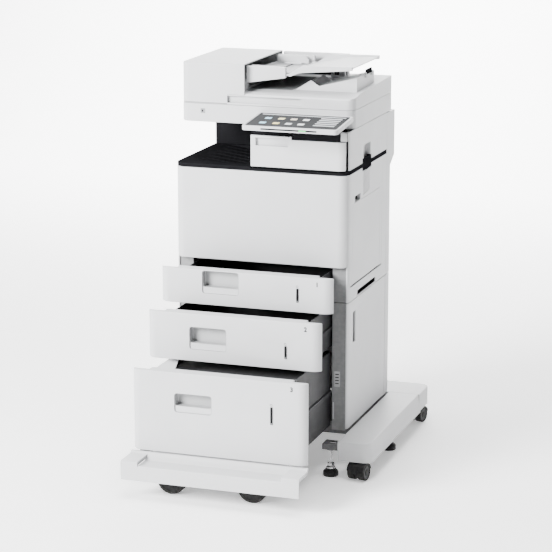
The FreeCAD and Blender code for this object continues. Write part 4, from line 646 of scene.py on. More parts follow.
WHITE = Plastic("white_cover_plastic", (0.50, 0.505, 0.515), (0.48, 0.485, 0.495), roughness=0.5, shine=0.3)
# pale grey plastic of the pillar label and the panel end block; in the pull pockets it is painted shade
POCKET = Plastic("pale_grey_plastic_and_pocket_shade", (0.36, 0.365, 0.37), (0.33, 0.335, 0.34), shine=0.3)
# mid grey plastic of the badge, gauge flag and pocket mouth line; also painted shade on the feeder's entry and
# delivery floors
GREY = Plastic("mid_grey_plastic_and_painted_shade", (0.22, 0.225, 0.235), (0.19, 0.195, 0.20), roughness=0.5)
TRAY = Plastic("drawer_rib_plastic", (0.45, 0.455, 0.46), (0.40, 0.405, 0.41), roughness=0.5)
# near-black painted shade on the walls, floor and left ribs of the drawer trays
TRAY_PAINTED_SHADE = Plastic("drawer_tray_painted_shade", (0.018, 0.018, 0.02), (0.014, 0.014, 0.016), roughness=0.55,
                    shine=0.3)
# black plastic of the trims, latch and output deck; also the black plates of painted shade in the right side's
# openings and the feeder's delivery space
BLACK = Plastic("black_trim_plastic_and_painted_shade", (0.009, 0.009, 0.010), (0.006, 0.006, 0.007), roughness=0.6,
                scuffs=0.05,
                shine=0.0)
NYLON = Plastic("black_castor_nylon", (0.008, 0.008, 0.009), (0.012, 0.012, 0.013), roughness=0.42, dust=0.04,
                shine=0.15)
TREAD = Plastic("black_tread_rubber", (0.010, 0.010, 0.010), (0.016, 0.016, 0.015), roughness=0.7, depth=0.2,
                grain=700.0, dust=0.05, shine=0.15)
DRUM = Plastic("drum_case_plastic", (0.05, 0.055, 0.06), (0.035, 0.04, 0.045), roughness=0.4)
BELT = Plastic("transfer_belt_film", (0.03, 0.026, 0.024), (0.04, 0.034, 0.03), roughness=0.2, spread=0.06)
BOTTLE = Plastic("toner_bottle_plastic", (0.13, 0.135, 0.15), (0.10, 0.105, 0.12), roughness=0.28, coat=0.3)
BOARD = Plastic("circuit_board_lacquer", (0.03, 0.16, 0.07), (0.02, 0.10, 0.05), roughness=0.3, coat=0.4)
SCREEN = Plastic("dark_touch_glass", (0.045, 0.046, 0.048), (0.055, 0.056, 0.058), roughness=0.35,
                 spread=0.05,
                 depth=0.0, scuffs=0.05, dust=0.0, shine=0.0)
INK = Plastic("printed_ink", (0.02, 0.02, 0.022), (0.03, 0.03, 0.032), roughness=0.6, scuffs=0.0, shine=0.05)
PALE_INK = Plastic("printed_pale_ink", (0.45, 0.46, 0.47), (0.50, 0.51, 0.52), roughness=0.5, scuffs=0.0)
ZINC = Metal("zinc_plated_steel", (0.22, 0.223, 0.226), (0.17, 0.172, 0.175), 0.5, 0.4)
SHADED_STEEL = Metal("dark_plated_steel", (0.085, 0.086, 0.09), (0.06, 0.061, 0.064), 0.55, 0.2)
BLACK_STEEL = Metal("powder_coated_steel", (0.05, 0.05, 0.055), (0.035, 0.035, 0.04), 0.5, 0.0, 120.0)
SILVER = Metal("bright_steel", (0.75, 0.75, 0.76), (0.62, 0.62, 0.63), 0.22)
PLATEN = Glass("platen_float_glass", (0.90, 0.97, 0.95))
LED = Plastic("green_lamp_lens", (0.10, 0.85, 0.20), (0.06, 0.70, 0.15), roughness=0.2, glow=1.5, scuffs=0.0)


def lit(name: str, colour: Colour, shade_of: Colour, glow: float) -> Plastic:
    """Finish of a lit patch on the touch screen."""
    return Plastic(name, colour, shade_of, roughness=0.25, depth=0.0, scuffs=0.0, dust=0.0, glow=glow)


BODY_OF = {node: body for body, members in frame["record"]["behaviour"]["bodies"].items() for node in members}


def dress(piece: bpy.types.Object, finish: Plastic | Metal | Glass, node: str,
          stands_for: bool = False) -> bpy.types.Object:
    """Gives a piece its finish and body.

    Args:
        piece: The piece.
        finish: Its finish.
        node: CAD node on whose body it rides.
        stands_for: True if the piece replaces the node.

    Returns:
        The piece.
    """
    piece.data.materials.clear()
    piece.data.materials.append(finish.material())
    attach(piece, BODY_OF[node])
    if stands_for:
        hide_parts(node)
    LOG.info("piece %s on %s", piece.name, BODY_OF[node])
    return piece


def bevelled(piece: bpy.types.Object, width: float, segments: int = 3) -> bpy.types.Object:
    """Rounds a piece's sharp edges with a live bevel.

    Args:
        piece: The piece.
        width: Width of the bevel.
        segments: Faces across the bevel.

    Returns:
        The piece.
    """
    bevel = piece.modifiers.new("soft_edges", "BEVEL")
    bevel.width = width
    bevel.segments = segments
    bevel.limit_method = "ANGLE"
    bevel.angle_limit = math.radians(32)
    bevel.harden_normals = True
    return piece


def softened(node: str, finish: Plastic | Metal, width: float = 0.9 * MM,
             segments: int = 3) -> bpy.types.Object:
    """Copy of a CAD node with its flat faces joined up and its edges rounded.

    Args:
        node: CAD node.
        finish: Finish of the copy.
        width: Width of the rounding.
        segments: Faces across the rounding.

    Returns:
        The piece that stands for the node.
    """
    mesh = frame["nodes"][node].data.copy()
    work = bmesh.new()
    work.from_mesh(mesh)
    bmesh.ops.remove_doubles(work, verts=work.verts, dist=MERGED)
    bmesh.ops.dissolve_limit(work, angle_limit=math.radians(0.8), verts=work.verts, edges=work.edges)
    work.to_mesh(mesh)
    work.free()
    shade(mesh)
    piece = add_object(node + "_moulding", mesh)
    return dress(bevelled(piece, width, segments), finish, node, stands_for=True)


def kept(finish: Plastic | Metal | Glass, *nodes: str) -> None:
    """Dresses CAD nodes that are shown as they are.

    Args:
        finish: Finish of the nodes.
        nodes: The nodes.
    """
    for node in nodes:
        mesh = frame["nodes"][node].data
        mesh.materials.clear()
        mesh.materials.append(finish.material())
        LOG.info("node %s dressed", node)


def lettering(text: str, height: float, at: Vector, right: Vector, up: Vector, name: str) -> bpy.types.Object:
    """Flat figures standing a quarter of a millimetre proud of a face.

    Args:
        text: Figures to show.
        height: Height of the figures.
        at: Lower left corner.
        right: Direction of the line.
        up: Direction of the figures' tops.
        name: Name of the piece.

    Returns:
        The new object, as a mesh at the origin.
    """
    curve = bpy.data.curves.new(name, "FONT")
    curve.body = text
    curve.size = height / 0.7
    curve.extrude = 0.25 * MM
    curve.offset = 0.6 * MM
    holder = add_object(name + "_curve", curve)
    bpy.context.view_layer.update()
    depsgraph = bpy.context.evaluated_depsgraph_get()
    mesh = bpy.data.meshes.new_from_object(holder.evaluated_get(depsgraph))
    bpy.data.objects.remove(holder)
    flat = np.empty(len(mesh.vertices) * 3, np.float32)
    mesh.vertices.foreach_get("co", flat)
    local = flat.reshape(-1, 3)
    out = right.cross(up)
    world = (np.array(at) + local[:, :1] * np.array(right) + local[:, 1:2] * np.array(up)
             + local[:, 2:] * np.array(out))
    mesh.vertices.foreach_set("co", world.astype(np.float32).ravel())
    mesh.update()
    mesh.name = name
    return add_object(name, mesh)


# ---- castors and feet ----
@dataclass
class Castors:
    """Twin-wheel castors: grooved wheels with dished hubs, under their moulded hoods."""

    base_names: tuple[str, ...] = ("front_left", "front_right", "rear_left", "rear_right")
    drawer_names: tuple[str, ...] = ("left", "right")
    edge: float = 3.0 * MM
    groove: float = 0.5 * MM
    knurl: float = 0.35 * MM
    knurls: int = 16
    cap_sink: float = 1.7 * MM
    steps: int = 64

    def wheel_profile(self, radius: float, width: float) -> Array:
        """Outline of one wheel from its inner face to its dished outer face.

        Args:
            radius: Wheel radius.
            width: Wheel width.

        Returns:
            Pairs of (radius, height) along the axle.
        """
        turn = np.linspace(0, math.pi / 2, 6)
        edge = self.edge
        inner = np.stack([radius - edge + edge * np.sin(turn), edge * (1 - np.cos(turn))], 1)
        across = np.linspace(edge, width - edge, 13)
        wave = self.groove * (np.cos((across - edge) / (width - 2 * edge) * 6 * math.pi) - 1) / 2
        tread = np.stack([radius + wave, across], 1)
        outer = np.stack([radius - edge + edge * np.cos(turn), width - edge + edge * np.sin(turn)], 1)
        dish = np.array([[radius * 0.80, width], [radius * 0.77, width - 1.6 * MM],
                         [radius * 0.40, width - 2.4 * MM], [radius * 0.34, width - 0.4 * MM],
                         [radius * 0.16, width - 0.2 * MM], [0.0, width]])
        return np.concatenate([[[0.0, 0.0]], inner, tread[1:-1], outer, dish])

    def wheels(self, node: str, spin: dict) -> None:
        """Builds both wheels of one castor.

        Args:
            node: CAD node of the wheel pair.
            spin: Joint about which they roll.
        """
        axle = Vector(spin["axis"]).normalized()
        centre = Vector(spin["pos_m"])
        local = node_points(node) - np.array(centre)
        along = local @ np.array(axle)
        radius = float(np.linalg.norm(local - along[:, None] * np.array(axle), axis=1).max())
        inner, outer = float(np.abs(along).min()), float(np.abs(along).max())
        shell = Shell()
        for side in (-1, 1):
            profile = self.wheel_profile(radius, outer - inner)
            shell.turned(profile, centre + axle * side * inner, axle * side, self.steps)
        dress(shell.build(node + "_tread"), TREAD, node, stands_for=True)
        rim = np.array([[0.0, 0.0], [radius * 0.74, 0.0], [radius * 0.74, 0.7 * MM],
                        [radius * 0.30, -0.2 * MM], [radius * 0.26, 1.4 * MM], [0.0, 1.6 * MM]])
        ripple = np.zeros((len(rim), self.steps))
        turn = np.linspace(0, 2 * math.pi, self.steps, endpoint=False)
        ripple[1:3] = self.knurl * np.cos(turn * self.knurls)
        hubs = Shell()
        for side in (-1, 1):
            hubs.turned(rim, centre + axle * side * (outer - self.cap_sink), axle * side, self.steps, ripple)
        dress(hubs.build(node + "_hub_caps"), NYLON, node)

    def build(self) -> None:
        """Builds every castor."""
        joints = {joint["child"]: joint for joint in frame["joints"]}
        for prefix, names in (("castor_", self.base_names), ("drawer_castor_", self.drawer_names)):
            for name in names:
                softened(prefix + name, NYLON, 0.7 * MM)
                wheel_node = prefix + "wheels_" + name
                self.wheels(wheel_node, joints[wheel_node])


@dataclass
class LevellingFeet:
    """Screw feet: ribbed pads, plated collars and threaded studs."""

    pad_height: float = 22.0 * MM
    pitch: float = 2.2 * MM
    stud_radius: float = 5.0 * MM
    outer_x: float = 280.0 * MM

    def foot(self, centre: Vector, radius: float, top: float) -> tuple[Shell, Shell]:
        """Builds one foot.

        Args:
            centre: Point on the floor below the foot.
            radius: Radius of the pad.
            top: Height of the stud's end.

        Returns:
            The pad's shell and the plated parts' shell.
        """
        height = self.pad_height
        profile = np.array([[0.0, 0.0], [radius * 0.96, 0.0], [radius, 1.2 * MM], [radius, height * 0.55],
                            [radius * 0.93, height * 0.7], [radius * 0.72, height * 0.8],
                            [radius * 0.66, height], [0.0, height]])
        ripple = np.zeros((8, 96))
        ripple[2:5] = -0.5 * MM * (1 + np.cos(np.linspace(0, 2 * math.pi, 96, endpoint=False) * 24)) / 2
        pad = Shell().turned(profile, centre, UP, 96, ripple)
        plated = Shell()
        collar = np.array([[0.0, height], [radius * 0.56, height], [radius * 0.6, height + 0.8 * MM],
                           [radius * 0.6, height + 4.0 * MM], [radius * 0.52, height + 5 * MM],
                           [0.0, height + 5 * MM]])
        plated.turned(collar, centre, UP, 48)
        rows, steps = 120, 24
        z = np.linspace(height + 4 * MM, top, rows)
        angle = np.linspace(0, 2 * math.pi, steps, endpoint=False)
        # thread: the radius rises and falls with height over pitch minus the turn's share
        phase = z[:, None] / self.pitch - angle[None, :] / (2 * math.pi)
        r = self.stud_radius - 0.45 * MM * np.abs(2 * (phase % 1.0) - 1)
        rings = np.stack([centre.x + r * np.cos(angle), centre.y + r * np.sin(angle),
                          np.broadcast_to(z[:, None], r.shape)], -1)
        plated.tube(rings)
        flat = np.arange(6) * math.pi / 3
        across = radius * 0.5
        hexagon = np.stack([centre.x + across * np.cos(flat), centre.y + across * np.sin(flat)], 1)
        plated.prism(hexagon, Axis.Z, (height + 9 * MM, height + 15 * MM))
        return pad, plated

    def build(self) -> None:
        """Builds the four feet from the CAD node's four islands."""
        points = node_points("levelling_feet")
        for index, (side, outer) in enumerate(((-1, False), (1, False), (-1, True), (1, True))):
            mine = points[(np.sign(points[:, 0]) == side) & ((np.abs(points[:, 0]) > self.outer_x) == outer)]
            low, high = mine.min(0), mine.max(0)
            centre = Vector(((low[0] + high[0]) / 2, (low[1] + high[1]) / 2, 0.0))
            pad, plated = self.foot(centre, (high[0] - low[0]) / 2, high[2])
            dress(pad.build(f"levelling_pad_{index + 1}"), NYLON, "levelling_feet", stands_for=True)
            dress(plated.build(f"levelling_screw_{index + 1}"), SILVER, "levelling_feet")


# ---- base and cabinet ----
@dataclass
class Base:
    """Wheeled base: outrigger covers over a steel frame."""

    def build(self) -> None:
        """Builds the base."""
        for node in ("base_cover_right", "base_cover_left", "base_cover_rear"):
            softened(node, WHITE, 1.2 * MM)
        softened("base_frame", SHADED_STEEL, 0.5 * MM, 2)
        Castors().build()
        LevellingFeet().build()


def screws(name: str, node: str, places: list[tuple[float, float, float]]) -> None:
    """Domed screw heads on the back of a cover.

    Args:
        name: Name of the piece.
        node: CAD node that they hold.
        places: Centres on the cover's face.
    """
    radius, dome, sunk = 3.4 * MM, 0.7 * MM, 0.4 * MM
    turn = np.linspace(math.pi / 2, 0, 5)
    curve = np.stack([radius * np.sin(turn), dome * np.cos(turn)], 1)
    profile = np.concatenate([[[0.0, -sunk], [radius, -sunk]], curve])
    heads = Shell()
    for at in places:
        heads.turned(profile, Vector(at), BACKWARDS, 24)
    dress(heads.build(name), SILVER, node)


@dataclass
class Cabinet:
    """Lower cabinet with its steel frame and service door."""

    screw_inset: Pair = (14.0 * MM, 18.0 * MM)
    screw_rows: int = 3

    def build(self) -> None:
        """Builds the cabinet."""
        for node in ("cabinet_side_door", "cabinet_cover_left", "cabinet_cover_rear"):
            softened(node, WHITE)
        kept(ZINC, "cabinet_frame")
        low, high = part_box("cabinet_cover_rear")
        across, up = self.screw_inset
        heights = np.linspace(low.z + up, high.z - up, self.screw_rows)
        places = [(x, high.y, z) for x in (low.x + across, high.x - across) for z in heights]
        screws("cabinet_rear_screws", "cabinet_cover_rear", places)


# ---- drawers ----
@dataclass
class Drawer:
    """Paper drawer: moulded front, ribbed tray, level gauge and its figure."""

    number: int
    gauge: Pair
    pull: Pair
    pull_left: float = -127.0 * MM
    pull_right: float = -20.0 * MM
    pull_lip: float = 17.0 * MM
    pull_depth: float = 25.7 * MM
    mouth_radius: float = 7.0 * MM
    gauge_from_right: float = 100.0 * MM
    figure_from_right: float = 47.0 * MM
    figure_height: float = 12.0 * MM
    figure_drop: float = 11.0 * MM
    gauge_width: float = 5.8 * MM
    wall: float = 2.5 * MM
    rib_pitch: float = 17.0 * MM
    rib_depth: float = 1.4 * MM
    ledge: float = 0.0
    ledge_near: float = -140.0 * MM
    ledge_far: float = -176.0 * MM
    ledge_depth: float = 130.0 * MM

    def tray(self) -> None:
        """Builds the ribbed tray.

        Formula: each wall is a rounded bar; ribs are bars 3 mm wide set along the inner faces of the side
        walls at the rib pitch.
        """
        node = f"drawer_{self.number}_tray"
        low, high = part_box(node)
        rim = high.z - self.ledge
        runner = 5.0 * MM
        x0, x1 = low.x + 5 * MM, high.x - 5 * MM
        shell = Shell()
        shell.slab((x0, x1), (low.y, high.y), (low.z, low.z + self.wall), (4 * MM,) * 4)
        for x in ((x0, x0 + self.wall), (x1 - self.wall, x1)):
            shell.slab(x, (low.y, high.y), (low.z, rim), (0.8 * MM,) * 4, 0.6 * MM, 1.0 * MM)
        for y in ((low.y, low.y + self.wall), (high.y - self.wall, high.y)):
            shell.slab((x0, x1), y, (low.z, rim), (0.8 * MM,) * 4, 0.6 * MM, 1.0 * MM)
        # the walls, the floor and the left ribs are near-black painted shade inside the closed drawer; the right
        # ribs keep the tray's own pale grey
        sides = (("left", TRAY_PAINTED_SHADE, (x0 + self.wall - 0.2 * MM, x0 + self.wall + self.rib_depth)),
                 ("right", TRAY, (x1 - self.wall - self.rib_depth, x1 - self.wall + 0.2 * MM)))
        for side, finish, x in sides:
            ribs = Shell()
            for y in np.arange(low.y + 20 * MM, high.y - 14 * MM, self.rib_pitch):
                ribs.slab(x, (y, y + 3.0 * MM), (low.z + 3 * MM, rim - 1 * MM), (0.4 * MM,) * 4)
            dress(ribs.build(f"{node}_ribs_{side}"), finish, node)
        middle = low.z + (rim - low.z) * 0.46
        for x in ((low.x, x0 + 0.5 * MM), (x1 - 0.5 * MM, high.x)):
            shell.slab(x, (low.y + 10 * MM, high.y - runner), about(middle, 6 * MM), (0.6 * MM,) * 4)
        dress(shell.build(node + "_walls"), TRAY_PAINTED_SHADE, node, stands_for=True)
        # the floor plate is near-black painted shade
        floor = Shell()
        floor.slab((x0 + 6 * MM, x1 - 6 * MM), (low.y + 6 * MM, high.y - 6 * MM),
                   (low.z + self.wall, low.z + self.wall + 1.2 * MM), (3 * MM,) * 4)
        dress(floor.build(node + "_base_plate"), TRAY_PAINTED_SHADE, node)
        if self.ledge:
            deep = low.y + self.ledge_depth
            corner = filleted([(x0, low.y), (self.ledge_near, low.y), (self.ledge_far, deep), (x0, deep)], 2 * MM)
            ledge = Shell().prism(corner, Axis.Z, (rim, high.z)).build(node + "_ledge")
            dress(bevelled(ledge, 0.5 * MM), WHITE, node)

    def pocket(self, low: Vector) -> None:
        """Puts a grey liner of painted shade in the pull pocket and rounds its mouth.

        Args:
            low: Lower left corner of the drawer front.
        """
        node = f"drawer_{self.number}_front"
        face = low.y
        z = (low.z + self.pull[0], low.z + self.pull[1])
        x = (self.pull_left, self.pull_right)
        round_corners = (self.mouth_radius,) * 4
        line = rounded_rectangle(x, z, round_corners, 0.3 * MM)
        square = rounded_rectangle(x, z, (0, 0, 0, 0), -0.1 * MM)
        mouth = Shell().collar(square, line, Axis.Y, (face + 0.02 * MM, face + 2.6 * MM))
        dress(mouth.build(f"{node}_mouth"), WHITE, node)
        rim = rounded_rectangle(x, z, round_corners, -0.5 * MM)
        edge = Shell().collar(rim, line, Axis.Y, (face - 0.05 * MM, face + 1.2 * MM))
        dress(edge.build(f"{node}_mouth_line"), GREY, node)
        above = (z[0] + self.pull_lip, z[1] - 0.3 * MM)
        across = (x[0] + 0.2 * MM, x[1] - 0.2 * MM)
        outer = rounded_rectangle(across, above, (0, 0, 0, 0))
        inner = rounded_rectangle(across, above, round_corners, 0.8 * MM)
        # the liner's pale grey is painted shade on the inner faces of the white pocket
        cup = Shell().cup(outer, inner, Axis.Y, (face + 2.7 * MM, face + self.pull_depth), 0.6 * MM)
        dress(cup.build(f"{node}_pocket_painted_shade"), POCKET, node)

    def dressing(self) -> None:
        """Adds the pocket's liner of painted shade, the level gauge with its marks, and the drawer's figure."""
        node = f"drawer_{self.number}_front"
        name = f"drawer_{self.number}"
        low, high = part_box(node)
        self.pocket(low)
        face = low.y
        x = high.x - self.gauge_from_right
        z0, z1 = low.z + self.gauge[0], low.z + self.gauge[1]
        window = Shell().slab(about(x, self.gauge_width / 2), (z0 + 0.1 * MM, z1 - 0.1 * MM),
                              shift((-0.12 * MM, 1.2 * MM), face), (2.5 * MM,) * 4, 0.1 * MM, 0.1 * MM, Axis.Y)
        dress(window.build(f"{name}_level_window"), BLACK, node)
        flag = Shell().slab(about(x, 1.6 * MM), shift((1.5 * MM, 5 * MM), z0), shift((-0.2 * MM, 0.1 * MM), face),
                            (0.8 * MM,) * 4, 0.05 * MM, 0.05 * MM, Axis.Y)
        dress(flag.build(f"{name}_level_flag"), GREY, node)
        ring = np.array([[2.4, -0.2], [3.4, -0.2], [3.4, 0.12], [2.4, 0.12]]) * MM
        angle = np.linspace(0, 2 * math.pi, 32, endpoint=False)
        up = z1 + 5 * MM + ring[:, :1] * np.sin(angle)
        out = np.broadcast_to(face - ring[:, 1:], up.shape)
        circle = np.stack([x + ring[:, :1] * np.cos(angle), out, up], -1)
        dress(Shell().grid(circle, wrap_u=True, wrap_v=True).build(f"{name}_gauge_ring"), INK, node)
        steps = Shell()
        side = x + 9 * MM
        for share in (0.05, 0.95):
            steps.slab((side, side + 8 * MM), about(z0 + (z1 - z0) * share, 1 * MM), about(face, 0.1 * MM),
                       (0.5 * MM,) * 4, 0.02 * MM, 0.02 * MM, Axis.Y)
        dress(steps.build(f"{name}_gauge_steps"), PALE_INK, node)
        at = Vector((high.x - self.figure_from_right, face - 0.02 * MM,
                     high.z - self.figure_drop - self.figure_height))
        figure = lettering(str(self.number), self.figure_height, at, Vector((1, 0, 0)), UP, f"{name}_figure")
        dress(figure, INK, node)

    def build(self) -> None:
        """Builds the drawer."""
        softened(f"drawer_{self.number}_front", WHITE, 1.3 * MM, 4)
        self.tray()
        self.dressing()


@dataclass
class FootPanel:
    """Tread and skirt under the deep drawer, and the drawer's lift plate."""

    def build(self) -> None:
        """Builds the tread."""
        softened("foot_panel", WHITE, 1.6 * MM, 4)
        kept(SHADED_STEEL, "drawer_3_lift_plate")


# ---- main unit ----
@dataclass
class OutputBin:
    """Black output deck with guide ribs in its sloped well."""

    ribs: int = 7
    rib_width: float = 1.4 * MM
    rib_height: float = 1.5 * MM
    rib_root: float = 1.2 * MM
    well_left: float = -206.0 * MM
    well_right: float = -40.0 * MM
    sink: float = 24.0 * MM
    trim: float = 12.0 * MM
    front_gap: float = 50.0 * MM
    rear_gap: float = 40.0 * MM

    def build(self) -> None:
        """Builds the deck and its ribs.

        Formula: each rib is a slanted bar that follows the floor of the well, which falls evenly from its
        left edge to its right edge.
        """
        softened("output_deck", BLACK, 0.8 * MM)
        softened("bin_walls", BLACK, 0.6 * MM, 2)
        low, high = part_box("bin_walls")
        left, right = self.well_left, self.well_right
        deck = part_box("front_cover")[1].z + self.trim
        fallen = deck - self.sink * (right - left) / (high.x - left)
        outline = filleted([(left, deck - self.rib_root), (right, fallen - self.rib_root),
                            (right, fallen + self.rib_height), (left, deck + 0.2 * MM)], 0.4 * MM, 3)
        shell = Shell()
        for y in np.linspace(low.y + self.front_gap, high.y - self.rear_gap, self.ribs):
            shell.prism(outline, Axis.Y, (y, y + self.rib_width))
        dress(shell.build("output_well_ribs"), BLACK, "output_deck")


@dataclass
class MainUnit:
    """Engine housing: covers, doors, latch, tower and the units inside."""

    block_x: Pair = (231.9 * MM, 253.1 * MM)
    block_y: Pair = (3.9 * MM, 19.2 * MM)
    block_rise: Pair = (-26.1 * MM, -1.9 * MM)
    screw_inset: float = 14.0 * MM
    screw_rise: tuple[float, ...] = (18.0 * MM, 150.0 * MM, 290.0 * MM)
    screw_drop: float = 16.0 * MM

    def build(self) -> None:
        """Builds the main unit."""
        for node in ("main_cover_left", "main_cover_right", "main_cover_rear", "front_cover", "right_door",
                     "tower_cover", "tower_side_cover"):
            softened(node, WHITE)
        softened("mp_tray", WHITE, 1.0 * MM)
        softened("door_latch", BLACK, 0.6 * MM)
        softened("panel_support", BLACK, 0.8 * MM)
        softened("power_inlet", BLACK, 0.4 * MM, 2)
        kept(ZINC, "main_frame")
        front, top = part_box("front_cover")[0].y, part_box("scanner_case")[0].z
        block = Shell().slab(self.block_x, shift(self.block_y, front), shift(self.block_rise, top),
                             (2 * MM,) * 4, 1 * MM, 1 * MM)
        dress(block.build("panel_end_block"), POCKET, "panel_support")
        kept(BLACK_STEEL, "fixing_unit")
        softened("laser_unit", BLACK, 0.8 * MM)
        softened("drum_units", DRUM, 0.6 * MM)
        kept(BELT, "transfer_belt")
        softened("toner_cartridges", BOTTLE, 0.8 * MM)
        kept(BOARD, "control_board")
        OutputBin().build()
        low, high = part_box("main_cover_rear")
        lower_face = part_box("cabinet_cover_rear")[1].y
        places = []
        for x in (low.x + self.screw_inset, high.x - self.screw_inset):
            places += [(x, lower_face, low.z + rise) for rise in self.screw_rise]
            places.append((x, high.y, high.z - self.screw_drop))
        screws("main_rear_screws", "main_cover_rear", places)


@dataclass
class SideDetails:
    """Black plates of painted shade in the openings of the right side, and labels on the front pillar.

    Places across the machine count from its middle, places along it from the front cover's face.
    """

    half: float = 255.0 * MM
    wall: float = 3.0 * MM
    # thickness of the black plates of painted shade
    lining: float = 0.6 * MM
    vents_y: Pair = (149.0 * MM, 222.0 * MM)
    vents_margin: Pair = (9.0 * MM, 7.0 * MM)
    recess_y: Pair = (73.5 * MM, 126.5 * MM)
    recess_rise: Pair = (233.5 * MM, 250.5 * MM)
    recess_depth: float = 10.3 * MM
    slot_y: Pair = (63.5 * MM, 97.5 * MM)
    slot_rise: Pair = (-123.5 * MM, -34.5 * MM)
    slot_depth: float = 11.2 * MM
    label_x: Pair = (214.0 * MM, 231.0 * MM)
    label_z: Pair = (236.0 * MM, 281.0 * MM)
    label_lines: int = 4
    label_pitch: float = 9.0 * MM
    line_height: float = 3.0 * MM
    strip_x: Pair = (210.5 * MM, 213.5 * MM)
    strip_z: Pair = (140.0 * MM, 190.0 * MM)
    badge_x: Pair = (-196.0 * MM, -182.0 * MM)
    badge_rise: Pair = (24.0 * MM, 38.0 * MM)
    mark_x: Pair = (-193.0 * MM, -188.0 * MM)
    mark_rise: Pair = (28.0 * MM, 34.0 * MM)

    def patch(self, name: str, node: str, x: Pair, y: Pair, z: Pair, finish: Plastic | Metal,
              radius: float = 0.5 * MM, axis: Axis = Axis.X) -> None:
        """Adds a thin plate with rounded corners.

        Args:
            name: Name of the piece.
            node: CAD node that carries it.
            x: Limits across the machine.
            y: Limits from the front cover's face, towards the rear.
            z: Limits above the floor.
            finish: Its finish.
            radius: Corner radius.
            axis: Axis along which it is thin.
        """
        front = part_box("front_cover")[0].y
        y = shift(y, front)
        spans = {Axis.X: (y, z, x), Axis.Y: (x, z, y), Axis.Z: (x, y, z)}[axis]
        edge = 0.2 * abs(spans[2][1] - spans[2][0])
        dress(Shell().slab(*spans, (radius,) * 4, edge, edge, axis).build(name), finish, node)

    def raised(self, face: Pair) -> Pair:
        """Limits of a mark that stands 0.1 mm proud of a plate."""
        return face[0] - 0.1 * MM, face[0] + 0.05 * MM

    def side(self) -> None:
        """Puts black plates of painted shade behind the vents, at the back of the finger recess and in the lower
        door's slot.
        """
        low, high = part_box("right_door")
        inner = self.half - self.wall
        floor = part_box("mp_tray")[1].z
        # painted shade: black plates behind the vents, at the back of the finger recess and in the lower door's
        # slot
        self.patch("vent_painted_shade", "right_door", (inner - self.lining, inner - 0.1 * MM), self.vents_y,
                   (floor + self.vents_margin[0], high.z - self.vents_margin[1]), BLACK)
        inner = self.half - self.recess_depth
        self.patch("finger_recess_painted_shade", "right_door", (inner - self.lining, inner), self.recess_y,
                   shift(self.recess_rise, low.z), BLACK)
        inner = self.half - self.slot_depth
        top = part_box("cabinet_side_door")[1].z
        self.patch("door_slot_painted_shade", "cabinet_side_door", (inner - self.lining, inner), self.slot_y,
                   shift(self.slot_rise, top), BLACK)

    def build(self) -> None:
        """Builds the black plates of painted shade, the pillar's label and strip, and the badge."""
        self.side()
        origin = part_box("front_cover")[0].y
        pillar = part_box("cabinet_frame")[0].y - origin
        face = shift((-0.25 * MM, -0.02 * MM), pillar)
        self.patch("pillar_label", "cabinet_frame", self.label_x, face, self.label_z, POCKET, axis=Axis.Y)
        for row in range(self.label_lines):
            z = self.label_z[0] + 8 * MM + row * self.label_pitch
            self.patch(f"pillar_label_line_{row + 1}", "cabinet_frame",
                       (self.label_x[0] + 3 * MM, self.label_x[1] - 3 * MM), self.raised(face),
                       (z, z + self.line_height), INK, 0.2 * MM, Axis.Y)
        self.patch("pillar_guide_strip", "cabinet_frame", self.strip_x, face, self.strip_z, WHITE, 0.3 * MM,
                   Axis.Y)
        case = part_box("scanner_case")[0]
        plate = shift((-0.2 * MM, 0.1 * MM), case.y - origin)
        for name, finish, x, y, rise, radius in (
                ("scanner_badge", GREY, self.badge_x, plate, self.badge_rise, 1.0 * MM),
                ("scanner_badge_mark", INK, self.mark_x, self.raised(plate), self.mark_rise, 0.5 * MM)):
            self.patch(name, "scanner_case", x, y, shift(rise, case.z), finish, radius, Axis.Y)


